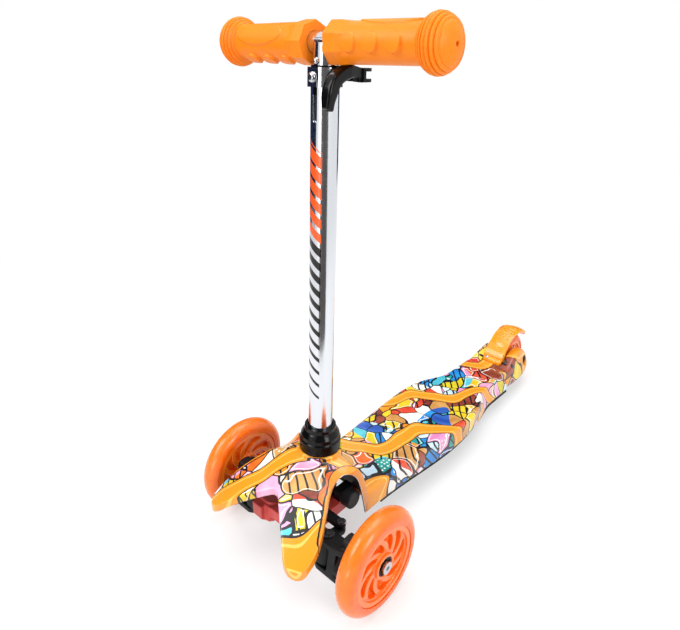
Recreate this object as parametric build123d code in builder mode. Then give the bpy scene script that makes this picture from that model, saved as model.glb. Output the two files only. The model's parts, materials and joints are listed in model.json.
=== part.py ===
from build123d import *
from math import cos, radians, sin
import os

# Children's three-wheeled kick scooter that steers by leaning. Millimetres.
# +Z is up, the scooter rides towards -Y, +X is the rider's left.
# The origin is on the floor, midway between the nose of the housing and the back of the rear wheel.
# Every y in these values runs rearwards from the front axle.

# Wheels and wheelbase
front_wheel_radius = 60.0
front_wheel_width = 24.0
half_track = 115.0
wheelbase = 504.0
rear_wheel_radius = 40.0
rear_wheel_width = 24.0
nose_reach = 83.0
tread_depth = 15.0
rear_tread_depth = 11.0
tread_shoulder = 10.0
rim_depth = 6.0
rim_inset = 1.0
web_thickness = 16.0
web_floor = 3.0
hub_boss_wall = 3.5
spoke_count = 9
spoke_sweep = 34.0
rear_spoke_count = 7
rear_spoke_sweep = 22.0
spoke_share = 0.42
window_margin = 1.5
window_round = 1.6

# Axles and ball bearings
axle_radius = 4.0
bearing_radius = 11.0
bearing_width = 7.0
bearing_inset = 1.5
bearing_groove = 1.0
bearing_race = 2.0
spacer_wall = 2.0
bolt_head_radius = 7.0
bolt_head_height = 4.0
hex_key_radius = 3.0
hex_key_depth = 2.0
nut_radius = 7.5
nut_height = 6.5
nut_room = 1.0

# Fits
running_clearance = 0.05
seat_clearance = 0.02
axial_play = 0.3
air_gap = 0.5

# Stem and handlebar, with heights along the stem from the foot of the base ring
stem_setback = 31.0
stem_foot_z = 130.5
stem_lean = 3.4
bar_height = 456.0
bar_rise = 22.5
lower_tube_radius = 14.3
lower_tube_wall = 1.2
lower_tube_top = bar_height - bar_rise
upper_tube_radius = 12.5
upper_tube_wall = 1.5
tube_overlap = 198.5
upper_tube_bottom = lower_tube_top - tube_overlap
tube_bush_length = 26.0
tube_bush_flange = 1.6
slide_bush_length = 30.0
bar_radius = 11.0
bar_wall = 1.5
bar_half_length = 112.0
guide_slot_width = 6.0
guide_slot_length = 34.0
clamp_slit_width = 2.0
clamp_slit_length = 30.0

# Base ring, and the tower of the cradle that holds the lower tube
base_ring_radius = 24.5
base_ring_height = 30.0
base_ring_lip = 18.5
base_ring_groove = 1.5
base_ring_band = 13.0
base_ring_shoulder = 19.0
base_ring_neck = 25.0
socket_depth = 62.0
tower_radius = 20.0
tower_top = 32.0
tower_depth = 75.0
stem_bolt_depth = 46.0
stem_bolt_radius = 3.0
stem_bolt_head = 5.5
stem_bolt_head_height = 4.0
stem_nut_height = 5.0
boss_radius = 27.0
boss_depth = 14.0

# Quick-release clamp
collar_height = 18.5
collar_wall = 2.8
collar_pad_width = 13.0
collar_pad_rise = 1.0
ear_reach = 31.0
ear_width = 9.5
ear_gap = 3.0
clamp_bolt_radius = 2.9
clamp_bolt_setback = 25.0
clamp_nut_radius = 5.8
clamp_nut_height = 5.0
cam_radius = 9.0
cam_height = 13.5
cam_drop = 6.5
cam_offset = 26.0
cam_washer_width = 12.0
barrel_radius = 4.0
lever_width = 10.0
lever_rise = 1.4
lever_reach = 28.0
lever_droop = 36.0
lever_thickness = 10.5
guide_head_radius = 5.0
guide_head_height = 3.2

# Grips
grip_inner = 14.8
grip_outer = 148.0
grip_radius = 19.5
flange_half_height = 20.2
flange_length = 13.0
flange_taper = 9.0
flange_taper_length = 10.0
knob_start = 119.0
knob_crown = 131.0
knob_end = 143.5
knob_radius = 25.8
knob_face_radius = 19.5
rib_count = 7
rib_depth = 1.2
end_hole_radius = 2.2
grip_disc_radius = 8.2
grip_disc_first = 46.0
grip_disc_pitch = 25.5
grip_disc_count = 3
pad_centre = 81.0
pad_half_length = 35.0
pad_half_width = 11.0
pad_rise = 0.9
right_grip_turn = 65.0

# Snap button that locks the handlebar
button_radius = 3.6
button_drop = 17.0
button_rise = 3.0
button_length = 9.0
button_travel = 3.0
button_flange = 1.5
button_spring_width = 7.0
button_spring_leaf = 0.8
button_spring_length = 34.0

# Front housing: side profiles of the hood and of its shoulders as (y, height on the centre line)
hood_profile = (
    (-130.0, 68.0),
    (-95.0, 88.0),
    (-53.0, 107.0),
    (-22.0, 119.5),
    (8.0, 128.0),
    (31.0, 129.0),
    (46.0, 118.0),
    (56.0, 93.0),
    (63.0, 60.0),
    (70.0, 20.0),
    (84.0, -40.0),
)
hood_axis_z = -60.0
shoulder_profile = (
    (-130.0, 260.0),
    (-40.0, 160.0),
    (0.0, 132.0),
    (31.0, 129.8),
    (52.0, 136.0),
    (84.0, 190.0),
)
shoulder_axis_z = 44.0
hood_wall = 3.0
hood_skirt = 9.0
arm_tip_x = 63.0
arm_tip_radius = 16.0
arm_angle = 44.0
notch_y = -38.0
notch_round = 9.0
flank_x = 66.0
flank_y = -28.0
waist_half_width = 45.0
waist_y = 14.0
housing_overlap = 3.0

# Steering: kingpins in the red cradle, black knuckles, tie rod
kingpin_x = 62.0
kingpin_y = -24.0
kingpin_z = 55.0
kingpin_rake = 12.0
kingpin_radius = 4.0
kingpin_head = 2.5
barrel_outer = 10.0
barrel_half_height = 13.0
lug_radius = 11.0
lug_thickness = 6.0
steer_arm_length = 20.0
steer_arm_width = 12.0
tie_pin_radius = 3.0
tie_pin_head = 2.0
tie_rod_thickness = 6.0
tie_rod_width = 11.0
tie_slot_play = 0.35
steer_limit = 15.0
upright_inner_x = 84.0
upright_thickness = 12.0
upright_round = 4.0
upright_profile = (
    (-37.0, 52.0),
    (-34.0, 36.0),
    (-8.0, 33.0),
    (12.0, 44.0),
    (14.0, 66.0),
    (-2.0, 76.0),
    (-7.0, 84.0),
    (-21.0, 84.0),
    (-26.0, 66.0),
)
rail_x = 28.0
rail_width = 12.0
rail_low = 51.0
rail_height = 15.0
rail_front_y = -34.0
tongue_height = 9.5
tongue_length = 28.0
block_inner_x = 31.0
block_outer_x = 48.0
block_profile = (
    (-40.0, 47.0),
    (-34.0, 42.0),
    (-8.0, 42.0),
    (-6.0, 62.0),
    (-18.0, 68.0),
    (-40.0, 65.0),
)
beam_width = 18.0
post_length = 24.0
post_height = 27.0
buffer_radius = 11.0
buffer_length = 12.0
buffer_round = 2.0
buffer_y = 40.0
buffer_z = 68.0

# Deck: shell, base and their screws, with lengths along the deck from its front end
deck_front_y = 58.0
deck_front_z = 65.2
fork_length = 76.0
deck_length = wheelbase - deck_front_y - fork_length
deck_fall = 14.8
deck_slope = deck_fall / deck_length
deck_front_half = 48.0
deck_mid_half = 59.0
deck_tail_half = 35.0
deck_mid_at = 0.487 * deck_length
tail_length = 50.0
tail_bend = 27.0
skirt_depth = 25.0
skirt_flare = 3.0
tail_flare = 9.0
deck_wall = 3.0
deck_edge_round = 4.0
base_top = 8.0
base_depth = 31.0
base_floor = 3.0
base_setback = 31.0
base_gap = 0.6
pocket_first = 52.0
pocket_last = 78.0
pocket_count = 7
pocket_pitch = (deck_length - pocket_first - pocket_last) / (pocket_count - 1)
pocket_width = 34.0
pocket_rib = 4.0
centre_rib = 12.0
screw_radius = 2.0
screw_head_radius = 3.8
screw_head_height = 2.0
screw_sink = 0.4
screw_boss_radius = 6.0
screw_grip = 4.0
screw_step = 3

# Rear fork: (y behind the deck's end, top, half width of the top, half width of the foot, foot)
fork_sections = (
    (-3.0, 50.4, 35.0, 43.0, 25.0),
    (28.0, 54.5, 34.0, 44.0, 19.0),
    (58.0, 63.0, 30.0, 42.5, 18.0),
    (84.0, 56.0, 28.0, 37.0, 24.0),
    (92.0, 47.0, 26.0, 33.0, 32.0),
)
fork_round = 7.0
fork_cheek = 8.0
wheel_gap = 3.5

# Brake fender and its hinge
fender_gap = 5.5
fender_wall = 3.0
fender_half_width = 17.0
fender_back_angle = 36.0
fender_front_angle = 172.0
fender_corner = 12.0
fender_rib_count = 6
fender_rib_rise = 1.0
fender_rib_angle = 7.0
fender_play = 1.0
fender_pivot_lead = 52.0
fender_pivot_y = wheelbase - fender_pivot_lead
fender_pivot_z = 50.0
fender_pivot_radius = 3.0
fender_barrel_radius = 6.5
fender_barrel_half = 11.0
fender_pin_grip = 8.0
brake_spring_radius = 4.3
brake_spring_wire = 1.2
brake_spring_turns = 5
brake_spring_half = 4.0

front_axle_y = (nose_reach - wheelbase - rear_wheel_radius) / 2
sides = (("left", 1), ("right", -1))


def level(z, y=0.0, x=0.0):
    return Plane((x, front_axle_y + y, z))


def side(x, y=0.0, z=0.0, outward=1):
    return Plane((x, front_axle_y + y, z), x_dir=(0, outward, 0), z_dir=(outward, 0, 0))


def section(y, x=0.0, z=0.0):
    return Plane((x, front_axle_y + y, z), x_dir=(1, 0, 0), z_dir=(0, -1, 0))


stem = Plane(
    (0, front_axle_y + stem_setback, stem_foot_z),
    x_dir=(1, 0, 0),
    z_dir=(0, sin(radians(stem_lean)), cos(radians(stem_lean))),
)
kingpin = Plane(
    (0, front_axle_y + kingpin_y, kingpin_z),
    x_dir=(1, 0, 0),
    z_dir=(0, sin(radians(kingpin_rake)), cos(radians(kingpin_rake))),
)
deck_plane = Plane(
    (0, front_axle_y + deck_front_y, deck_front_z),
    x_dir=(1, 0, 0),
    z_dir=(0, deck_slope, 1),
)


def stem_side(x, y=0.0, z=0.0):
    return Plane(stem.from_local_coords((x, y, z)), x_dir=stem.y_dir, z_dir=stem.x_dir)


def stem_front(y, z, tilt=0.0):
    outward = stem.z_dir * sin(radians(tilt)) - stem.y_dir * cos(radians(tilt))
    return Plane(stem.from_local_coords((0, y, z)), x_dir=stem.x_dir, z_dir=outward)


def disc(plane, radius, inner=0.0, x=0.0, y=0.0):
    with BuildSketch(plane) as sketch:
        with Locations((x, y)):
            Circle(radius)
            if inner:
                Circle(inner, mode=Mode.SUBTRACT)
    return sketch.sketch


def plate(plane, width, height, x=0.0, y=0.0, corner=0.0):
    with BuildSketch(plane) as sketch:
        with Locations((x, y)):
            if corner:
                RectangleRounded(width, height, corner)
            else:
                Rectangle(width, height)
    return sketch.sketch


def hexagon(plane, radius):
    with BuildSketch(plane) as sketch:
        RegularPolygon(radius, 6)
    return sketch.sketch


def slot(plane, length, width, x=0.0, y=0.0, turn=0.0):
    with BuildSketch(plane) as sketch:
        with Locations((x, y)):
            SlotOverall(length, width, rotation=turn)
    return sketch.sketch


def ring_sector(plane, inner, outer, start, sweep):
    with BuildSketch(plane) as sketch:
        with BuildLine():
            over = CenterArc((0, 0), outer, start, sweep)
            under = CenterArc((0, 0), inner, start, sweep)
            Line(over @ 0, under @ 0)
            Line(over @ 1, under @ 1)
        make_face()
    return sketch.sketch


def keep(piece, name):
    piece.part.label = name
    export_step(piece.part, f"parts/{name}.step")


os.makedirs("parts", exist_ok=True)


# Front housing: two revolved crowns, cut to the outline of the two arms
hood_top = 2 * stem_foot_z


def crown_points(profile, axis_z, drop):
    ends = (profile[0], *profile, profile[-1])
    for before, (y, z), after in zip(ends, profile, ends[2:]):
        run, fall = after[0] - before[0], before[1] - after[1]
        length = (run**2 + fall**2) ** 0.5
        yield y - drop * fall / length, z - drop * run / length - axis_z


def crown(profile, axis_z, drop):
    middle = (0, front_axle_y, axis_z)
    with BuildPart() as solid:
        with BuildSketch(Plane(middle, x_dir=(0, 1, 0), z_dir=(-1, 0, 0))):
            with BuildLine():
                top = Spline(*crown_points(profile, axis_z, drop))
                Polyline(top @ 1, ((top @ 1).X, 0), ((top @ 0).X, 0), top @ 0)
            make_face()
        revolve(axis=Axis(middle, (0, 1, 0)))
    return solid.part


def hood(drop):
    with BuildPart() as solid:
        add(crown(hood_profile, hood_axis_z, drop))
        add(crown(shoulder_profile, shoulder_axis_z, drop), mode=Mode.INTERSECT)
    return solid.part


def housing_outline(inset):
    tip_y = arm_tip_radius - nose_reach
    tip_radius = arm_tip_radius - inset
    rear_half = deck_front_half + housing_overlap - inset
    rear_y = hood_profile[-1][0]
    lean = radians(arm_angle)
    nose = radians(arm_angle - 90) / 2
    with BuildSketch(level(0)) as outline:
        with BuildLine():
            inner = Line(
                (0, notch_y + inset / cos(lean)),
                (arm_tip_x - tip_radius * cos(lean), tip_y - tip_radius * sin(lean)),
            )
            tip = ThreePointArc(
                inner @ 1,
                (arm_tip_x - tip_radius * sin(nose), tip_y - tip_radius * cos(nose)),
                (arm_tip_x + tip_radius, tip_y),
            )
            flank = Spline(
                tip @ 1,
                (flank_x - inset / cos(lean / 2), flank_y),
                (waist_half_width - inset, waist_y),
                (rear_half, deck_front_y - housing_overlap),
                tangents=((0, 1), (0, 1)),
            )
            Polyline(flank @ 1, (rear_half, rear_y), (0, rear_y))
            mirror(about=Plane.YZ)
        make_face()
        notch = outline.vertices().sort_by_distance((0, notch_y, 0))[0]
        fillet(notch, notch_round + inset)
    return outline.sketch


with BuildPart() as housing_cavity:
    extrude(housing_outline(hood_wall), amount=hood_top)
    add(hood(hood_wall), mode=Mode.INTERSECT)

with BuildPart() as deck_space:
    extrude(plate(deck_plane, 2 * hood_top, 2 * deck_length, y=deck_length), amount=-hood_top)
    extrude(plate(level(deck_front_z - skirt_depth), 2 * hood_top, 2 * hood_top), amount=-hood_top)

with BuildPart() as front_housing:
    extrude(housing_outline(0), amount=hood_top)
    add(hood(0), mode=Mode.INTERSECT)
    add(housing_cavity.part, mode=Mode.SUBTRACT)
    add(crown(hood_profile, hood_axis_z, hood_skirt), mode=Mode.SUBTRACT)
    add(deck_space.part, mode=Mode.SUBTRACT)
    extrude(disc(stem.offset(-boss_depth), boss_radius), amount=boss_depth)
    extrude(
        disc(stem.offset(-tower_top), lower_tube_radius + air_gap),
        amount=2 * tower_top,
        mode=Mode.SUBTRACT,
    )
keep(front_housing, "front_housing")


# Red cradle under the housing: stem tower, two rails, cross beams and the kingpin barrels
lug_near = barrel_half_height + axial_play
lug_far = lug_near + lug_thickness
rail_back_y = deck_front_y - air_gap

with BuildPart() as steering_cradle:
    for sign in (1, -1):
        with BuildSketch(side(sign * block_inner_x)):
            with BuildLine():
                Polyline(*block_profile, close=True)
            make_face()
        extrude(amount=sign * (block_outer_x - block_inner_x))
        extrude(
            slot(
                kingpin.offset(-barrel_half_height),
                kingpin_x - block_inner_x + 2 * barrel_outer,
                2 * barrel_outer,
                x=sign * (kingpin_x + block_inner_x) / 2,
            ),
            amount=2 * barrel_half_height,
        )
        rail_middle = (rail_front_y + rail_back_y) / 2
        extrude(
            plate(level(rail_low, rail_middle, sign * rail_x), rail_width, rail_back_y - rail_front_y),
            amount=rail_height,
        )
        extrude(
            plate(level(rail_low, deck_front_y, sign * rail_x), rail_width, 2 * tongue_length),
            amount=tongue_height,
        )
        extrude(plate(level(rail_low, buffer_y, sign * rail_x), rail_width, post_length), amount=post_height)
    extrude(plate(level(rail_low, stem_setback), 2 * rail_x, 2 * tower_radius), amount=rail_height / 2)
    extrude(plate(level(rail_low, kingpin_y), 2 * block_outer_x, beam_width), amount=rail_height)
    extrude(disc(stem.offset(-tower_depth), tower_radius), amount=tower_depth - tower_top)
    extrude(
        disc(stem.offset(-socket_depth), lower_tube_radius + seat_clearance),
        amount=socket_depth,
        mode=Mode.SUBTRACT,
    )
    for sign in (1, -1):
        extrude(
            disc(kingpin.offset(-barrel_half_height), kingpin_radius + seat_clearance, x=sign * kingpin_x),
            amount=2 * barrel_half_height,
            mode=Mode.SUBTRACT,
        )
    extrude(
        disc(stem_side(-tower_radius, 0, -stem_bolt_depth), stem_bolt_radius + seat_clearance),
        amount=2 * tower_radius,
        mode=Mode.SUBTRACT,
    )
keep(steering_cradle, "steering_cradle")

with BuildPart() as stem_bolt:
    bolt_start = -tower_radius - stem_nut_height
    extrude(
        disc(stem_side(bolt_start, 0, -stem_bolt_depth), stem_bolt_radius),
        amount=tower_radius - bolt_start,
    )
    head_plane = stem_side(tower_radius, 0, -stem_bolt_depth)
    extrude(hexagon(head_plane, stem_bolt_head), amount=stem_bolt_head_height)
keep(stem_bolt, "stem_bolt")

with BuildPart() as stem_nut:
    nut_plane = stem_side(bolt_start, 0, -stem_bolt_depth)
    extrude(hexagon(nut_plane, stem_bolt_head), amount=stem_nut_height)
    extrude(
        disc(nut_plane, stem_bolt_radius + seat_clearance),
        amount=stem_nut_height,
        mode=Mode.SUBTRACT,
    )
keep(stem_nut, "stem_nut")

with BuildPart() as rubber_buffers:
    for sign in (1, -1):
        face = side(sign * (rail_x + rail_width / 2), buffer_y, buffer_z, outward=sign)
        extrude(disc(face, buffer_radius), amount=buffer_length)
    rims = rubber_buffers.edges().filter_by(GeomType.CIRCLE).group_by(Axis.X)
    fillet(rims[0] + rims[-1], buffer_round)
keep(rubber_buffers, "rubber_buffers")


# Kingpins, knuckles and tie rod
wall_start = kingpin_x + barrel_outer + 2 * air_gap
wall_width = upright_inner_x - wall_start
lug_reach = upright_inner_x + upright_thickness - lug_radius - kingpin_x
boss_end = half_track - front_wheel_width / 2 + bearing_inset - axial_play
rod_low = lug_far + axial_play
pin_top = rod_low + tie_rod_thickness + axial_play

arm_end = kingpin.offset(lug_near)
head_low = lug_far + axial_play

for name, sign in sides:
    with BuildPart() as king:
        extrude(disc(kingpin.offset(-head_low), kingpin_radius, x=sign * kingpin_x), amount=2 * head_low)
        for low in (-head_low - kingpin_head, head_low):
            head = disc(kingpin.offset(low), kingpin_radius + kingpin_head, x=sign * kingpin_x)
            extrude(head, amount=kingpin_head)
    keep(king, f"{name}_kingpin")

    with BuildPart() as knuckle:
        for low in (lug_near, -lug_far):
            extrude(
                slot(
                    kingpin.offset(low),
                    lug_reach + 2 * lug_radius,
                    2 * lug_radius,
                    x=sign * (kingpin_x + lug_reach / 2),
                ),
                amount=lug_thickness,
            )
        wall_middle = sign * (wall_start + wall_width / 2)
        extrude(
            plate(kingpin.offset(-lug_near), wall_width, 2 * lug_radius, x=wall_middle),
            amount=2 * lug_near,
        )
        with BuildSketch(side(sign * upright_inner_x)) as cheek:
            with BuildLine():
                Polyline(*upright_profile, close=True)
            make_face()
            fillet(cheek.vertices(), upright_round)
        extrude(amount=sign * upright_thickness)
        extrude(
            disc(side(sign * upright_inner_x, 0, front_wheel_radius), axle_radius + spacer_wall),
            amount=sign * (boss_end - upright_inner_x),
        )
        extrude(
            slot(
                arm_end,
                steer_arm_length + steer_arm_width,
                steer_arm_width,
                x=sign * kingpin_x,
                y=steer_arm_length / 2,
                turn=90,
            ),
            amount=lug_thickness,
        )
        extrude(
            disc(kingpin.offset(-lug_far), kingpin_radius + running_clearance, x=sign * kingpin_x),
            amount=2 * lug_far,
            mode=Mode.SUBTRACT,
        )
        extrude(
            disc(arm_end, tie_pin_radius + seat_clearance, x=sign * kingpin_x, y=steer_arm_length),
            amount=lug_thickness,
            mode=Mode.SUBTRACT,
        )
        extrude(
            disc(side(sign * wall_start, 0, front_wheel_radius), axle_radius),
            amount=sign * half_track,
            mode=Mode.SUBTRACT,
        )
    keep(knuckle, f"{name}_knuckle")

    with BuildPart() as tie_pin:
        extrude(
            disc(arm_end, tie_pin_radius, x=sign * kingpin_x, y=steer_arm_length),
            amount=pin_top - lug_near,
        )
        head_radius = tie_pin_radius + tie_pin_head
        extrude(
            disc(kingpin.offset(pin_top), head_radius, x=sign * kingpin_x, y=steer_arm_length),
            amount=tie_pin_head,
        )
    keep(tie_pin, f"{name}_tie_pin")

# The pins swing forwards as they steer, so the rod has slots for them.
with BuildPart() as tie_rod:
    swing = steer_arm_length * (1 - cos(radians(steer_limit)))
    slot_width = 2 * (tie_pin_radius + tie_slot_play)
    extrude(
        slot(kingpin.offset(rod_low), 2 * kingpin_x + tie_rod_width, tie_rod_width, y=steer_arm_length),
        amount=tie_rod_thickness,
    )
    for sign in (1, -1):
        extrude(
            slot(
                kingpin.offset(rod_low),
                slot_width + swing,
                slot_width,
                x=sign * kingpin_x,
                y=steer_arm_length - swing / 2,
                turn=90,
            ),
            amount=tie_rod_thickness,
            mode=Mode.SUBTRACT,
        )
keep(tie_rod, "tie_rod")


# Wheels
def tyre(x, y, radius, width, depth):
    half = width / 2
    with BuildPart() as piece:
        with BuildSketch(section(y, x, radius)):
            with BuildLine():
                wall = Polyline(
                    (-half, radius - tread_shoulder),
                    (-half, radius - depth),
                    (half, radius - depth),
                    (half, radius - tread_shoulder),
                )
                ThreePointArc(wall @ 0, (0, radius), wall @ 1)
            make_face()
        revolve(axis=Axis((x, front_axle_y + y, radius), (1, 0, 0)))
    return piece


# One pocket between two swept spokes
def window(inner, outer, sweep, span):
    def at(radius, angle):
        return radius * cos(radians(angle)), radius * sin(radians(angle))

    middle = (inner + outer) / 2
    with BuildSketch() as sketch:
        with BuildLine():
            lead = ThreePointArc(at(inner, 0), at(middle, sweep / 3), at(outer, sweep))
            rim = ThreePointArc(lead @ 1, at(outer, sweep + span / 2), at(outer, sweep + span))
            trail = ThreePointArc(rim @ 1, at(middle, sweep / 3 + span), at(inner, span / 2))
            Line(trail @ 1, lead @ 0)
        make_face()
        fillet(sketch.vertices(), window_round)
    return sketch.sketch


def hub(plane, rim_radius, width, count, sweep):
    half = width / 2
    boss = bearing_radius + hub_boss_wall
    rim_inner = rim_radius - rim_depth
    opening = window(boss + window_margin, rim_inner - window_margin, sweep, 360 / count * (1 - spoke_share))
    pocket = (web_thickness - web_floor) / 2
    with BuildPart() as piece:
        extrude(
            disc(plane.offset(rim_inset - half), rim_radius - seat_clearance, rim_inner),
            amount=width - 2 * rim_inset,
        )
        extrude(disc(plane.offset(-web_thickness / 2), rim_inner + rim_inset), amount=web_thickness)
        extrude(disc(plane.offset(-half), boss), amount=width)
        for start in (web_floor / 2, -web_thickness / 2):
            with BuildSketch(plane.offset(start)):
                with PolarLocations(0, count):
                    add(opening)
            extrude(amount=pocket, mode=Mode.SUBTRACT)
        seat = bearing_width + bearing_inset
        for low in (-half, half - seat):
            extrude(disc(plane.offset(low), bearing_radius + seat_clearance), amount=seat, mode=Mode.SUBTRACT)
        extrude(disc(plane.offset(-half), bearing_radius - bearing_race), amount=width, mode=Mode.SUBTRACT)
    return piece


def bearings(plane, width):
    with BuildPart() as piece:
        for low in (-width / 2 + bearing_inset, width / 2 - bearing_inset - bearing_width):
            extrude(disc(plane.offset(low), bearing_radius, axle_radius), amount=bearing_width)
            for face in (low, low + bearing_width - bearing_groove):
                extrude(
                    disc(plane.offset(face), bearing_radius - bearing_race, axle_radius + bearing_race),
                    amount=bearing_groove,
                    mode=Mode.SUBTRACT,
                )
    return piece


def bearing_spacer(plane, width):
    length = width - 2 * (bearing_inset + bearing_width)
    with BuildPart() as piece:
        extrude(disc(plane.offset(-length / 2), axle_radius + spacer_wall, axle_radius), amount=length)
    return piece


def wheel(name, plane, radius, width, depth, count, sweep):
    x, y = plane.origin.X, plane.origin.Y - front_axle_y
    keep(tyre(x, y, radius, width, depth), f"{name}_tyre")
    keep(hub(plane, radius - depth, width, count, sweep), f"{name}_hub")
    keep(bearings(plane, width), f"{name}_bearings")
    keep(bearing_spacer(plane, width), f"{name}_bearing_spacer")


def axle_bolt(plane, start, head):
    with BuildPart() as piece:
        extrude(disc(plane.offset(start), axle_radius - running_clearance), amount=head - start)
        extrude(disc(plane.offset(head), bolt_head_radius), amount=bolt_head_height)
        extrude(
            hexagon(plane.offset(head + bolt_head_height), hex_key_radius),
            amount=-hex_key_depth,
            mode=Mode.SUBTRACT,
        )
    return piece


def axle_nut(plane, low):
    with BuildPart() as piece:
        extrude(hexagon(plane.offset(low), nut_radius), amount=nut_height)
        extrude(
            disc(plane.offset(low), axle_radius - running_clearance + seat_clearance),
            amount=nut_height,
            mode=Mode.SUBTRACT,
        )
    return piece


for name, sign in sides:
    hub_plane = side(sign * half_track, 0, front_wheel_radius, outward=sign)
    wheel(
        f"{name}_wheel",
        hub_plane,
        front_wheel_radius,
        front_wheel_width,
        tread_depth,
        spoke_count,
        spoke_sweep,
    )
    nut_low = upright_inner_x - half_track - nut_height
    keep(
        axle_bolt(hub_plane, nut_low - nut_room, front_wheel_width / 2 - bearing_inset + axial_play),
        f"{name}_axle_bolt",
    )
    keep(axle_nut(hub_plane, nut_low), f"{name}_axle_nut")

rear_plane = side(0, wheelbase, rear_wheel_radius)
wheel(
    "rear_wheel",
    rear_plane,
    rear_wheel_radius,
    rear_wheel_width,
    rear_tread_depth,
    rear_spoke_count,
    rear_spoke_sweep,
)


# Deck shell and base: outlines that widen downwards, more at the narrow tail
tail_start = deck_length - tail_length
deck_swell = deck_mid_half - deck_front_half


def deck_outline(depth, inset=0.0):
    grow = skirt_flare * depth / skirt_depth - inset
    tail = deck_tail_half + tail_flare * depth / skirt_depth - inset
    with BuildSketch(deck_plane.offset(-depth)) as outline:
        with BuildLine():
            front = Line((0, 0), (deck_front_half + grow, 0))
            flank = Spline(
                front @ 1,
                (deck_front_half + deck_swell / 10 + grow, deck_mid_at / 3.5),
                (deck_mid_half + grow, deck_mid_at),
                (deck_front_half + deck_swell / 4 + grow, tail_start - 2 * tail_bend),
                (tail + tail_bend / 9, tail_start - tail_bend),
                (tail, tail_start),
                tangents=((0, 1), (0, 1)),
            )
            Polyline(flank @ 1, (tail, deck_length), (0, deck_length))
            mirror(about=Plane.YZ)
        make_face()
    return outline.sketch


screw_rows = [pocket_first + pocket_pitch * (0.5 + screw_step * row) for row in range(3)]

with BuildPart() as deck_hollow:
    loft([deck_outline(deck_wall, deck_wall), deck_outline(skirt_depth, deck_wall)], ruled=True)

with BuildPart() as deck_shell:
    loft([deck_outline(0), deck_outline(skirt_depth)], ruled=True)
    flanks = deck_shell.faces().sort_by(Axis.Z)[-1].edges().sort_by(Axis.Y)[2:-2]
    fillet(flanks, deck_edge_round)
    add(deck_hollow.part, mode=Mode.SUBTRACT)
    for y in screw_rows:
        extrude(disc(deck_plane.offset(-base_top), screw_boss_radius, y=y), amount=base_top - deck_wall)
        extrude(
            disc(deck_plane.offset(-base_top), screw_radius + seat_clearance, y=y),
            amount=screw_grip,
            mode=Mode.SUBTRACT,
        )
keep(deck_shell, "deck_shell")

with BuildPart() as deck_base:
    inset = deck_wall + base_gap
    loft([deck_outline(base_top, inset), deck_outline(base_depth, inset)], ruled=True)
    for y in (0, deck_length + base_setback - base_gap):
        extrude(
            plate(deck_plane, 4 * deck_mid_half, 2 * base_setback, y=y),
            amount=-deck_length,
            mode=Mode.SUBTRACT,
        )
    with BuildSketch(deck_plane.offset(-base_depth)):
        for row in range(pocket_count):
            for column in (1, -1):
                x = column * (centre_rib + pocket_width) / 2
                with Locations((x, pocket_first + row * pocket_pitch)):
                    RectangleRounded(pocket_width, pocket_pitch - pocket_rib, pocket_rib)
    extrude(amount=base_depth - base_top - base_floor, mode=Mode.SUBTRACT)
    for y in screw_rows:
        extrude(
            disc(deck_plane.offset(-base_depth), screw_radius + seat_clearance, y=y),
            amount=base_depth - base_top,
            mode=Mode.SUBTRACT,
        )
        extrude(
            disc(deck_plane.offset(-base_depth), screw_head_radius + seat_clearance, y=y),
            amount=screw_sink + screw_head_height,
            mode=Mode.SUBTRACT,
        )
keep(deck_base, "deck_base")

with BuildPart() as deck_screws:
    for y in screw_rows:
        head_low = screw_sink - base_depth
        extrude(disc(deck_plane.offset(head_low), screw_head_radius, y=y), amount=screw_head_height)
        extrude(disc(deck_plane.offset(head_low), screw_radius, y=y), amount=screw_grip - base_top - head_low)
keep(deck_screws, "deck_screws")


# Rear fork
slot_half = rear_wheel_width / 2 + wheel_gap
slot_radius = rear_wheel_radius + wheel_gap
well_half = fender_half_width + fender_play
fender_inner = rear_wheel_radius + fender_gap
fender_outer = fender_inner + fender_wall
cheek_face = slot_half + fork_cheek
bearing_face = rear_wheel_width / 2 - bearing_inset + axial_play
fork_width = 4 * deck_mid_half
fork_start = deck_plane.from_local_coords((0, deck_length, 0)).Y - front_axle_y

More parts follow.
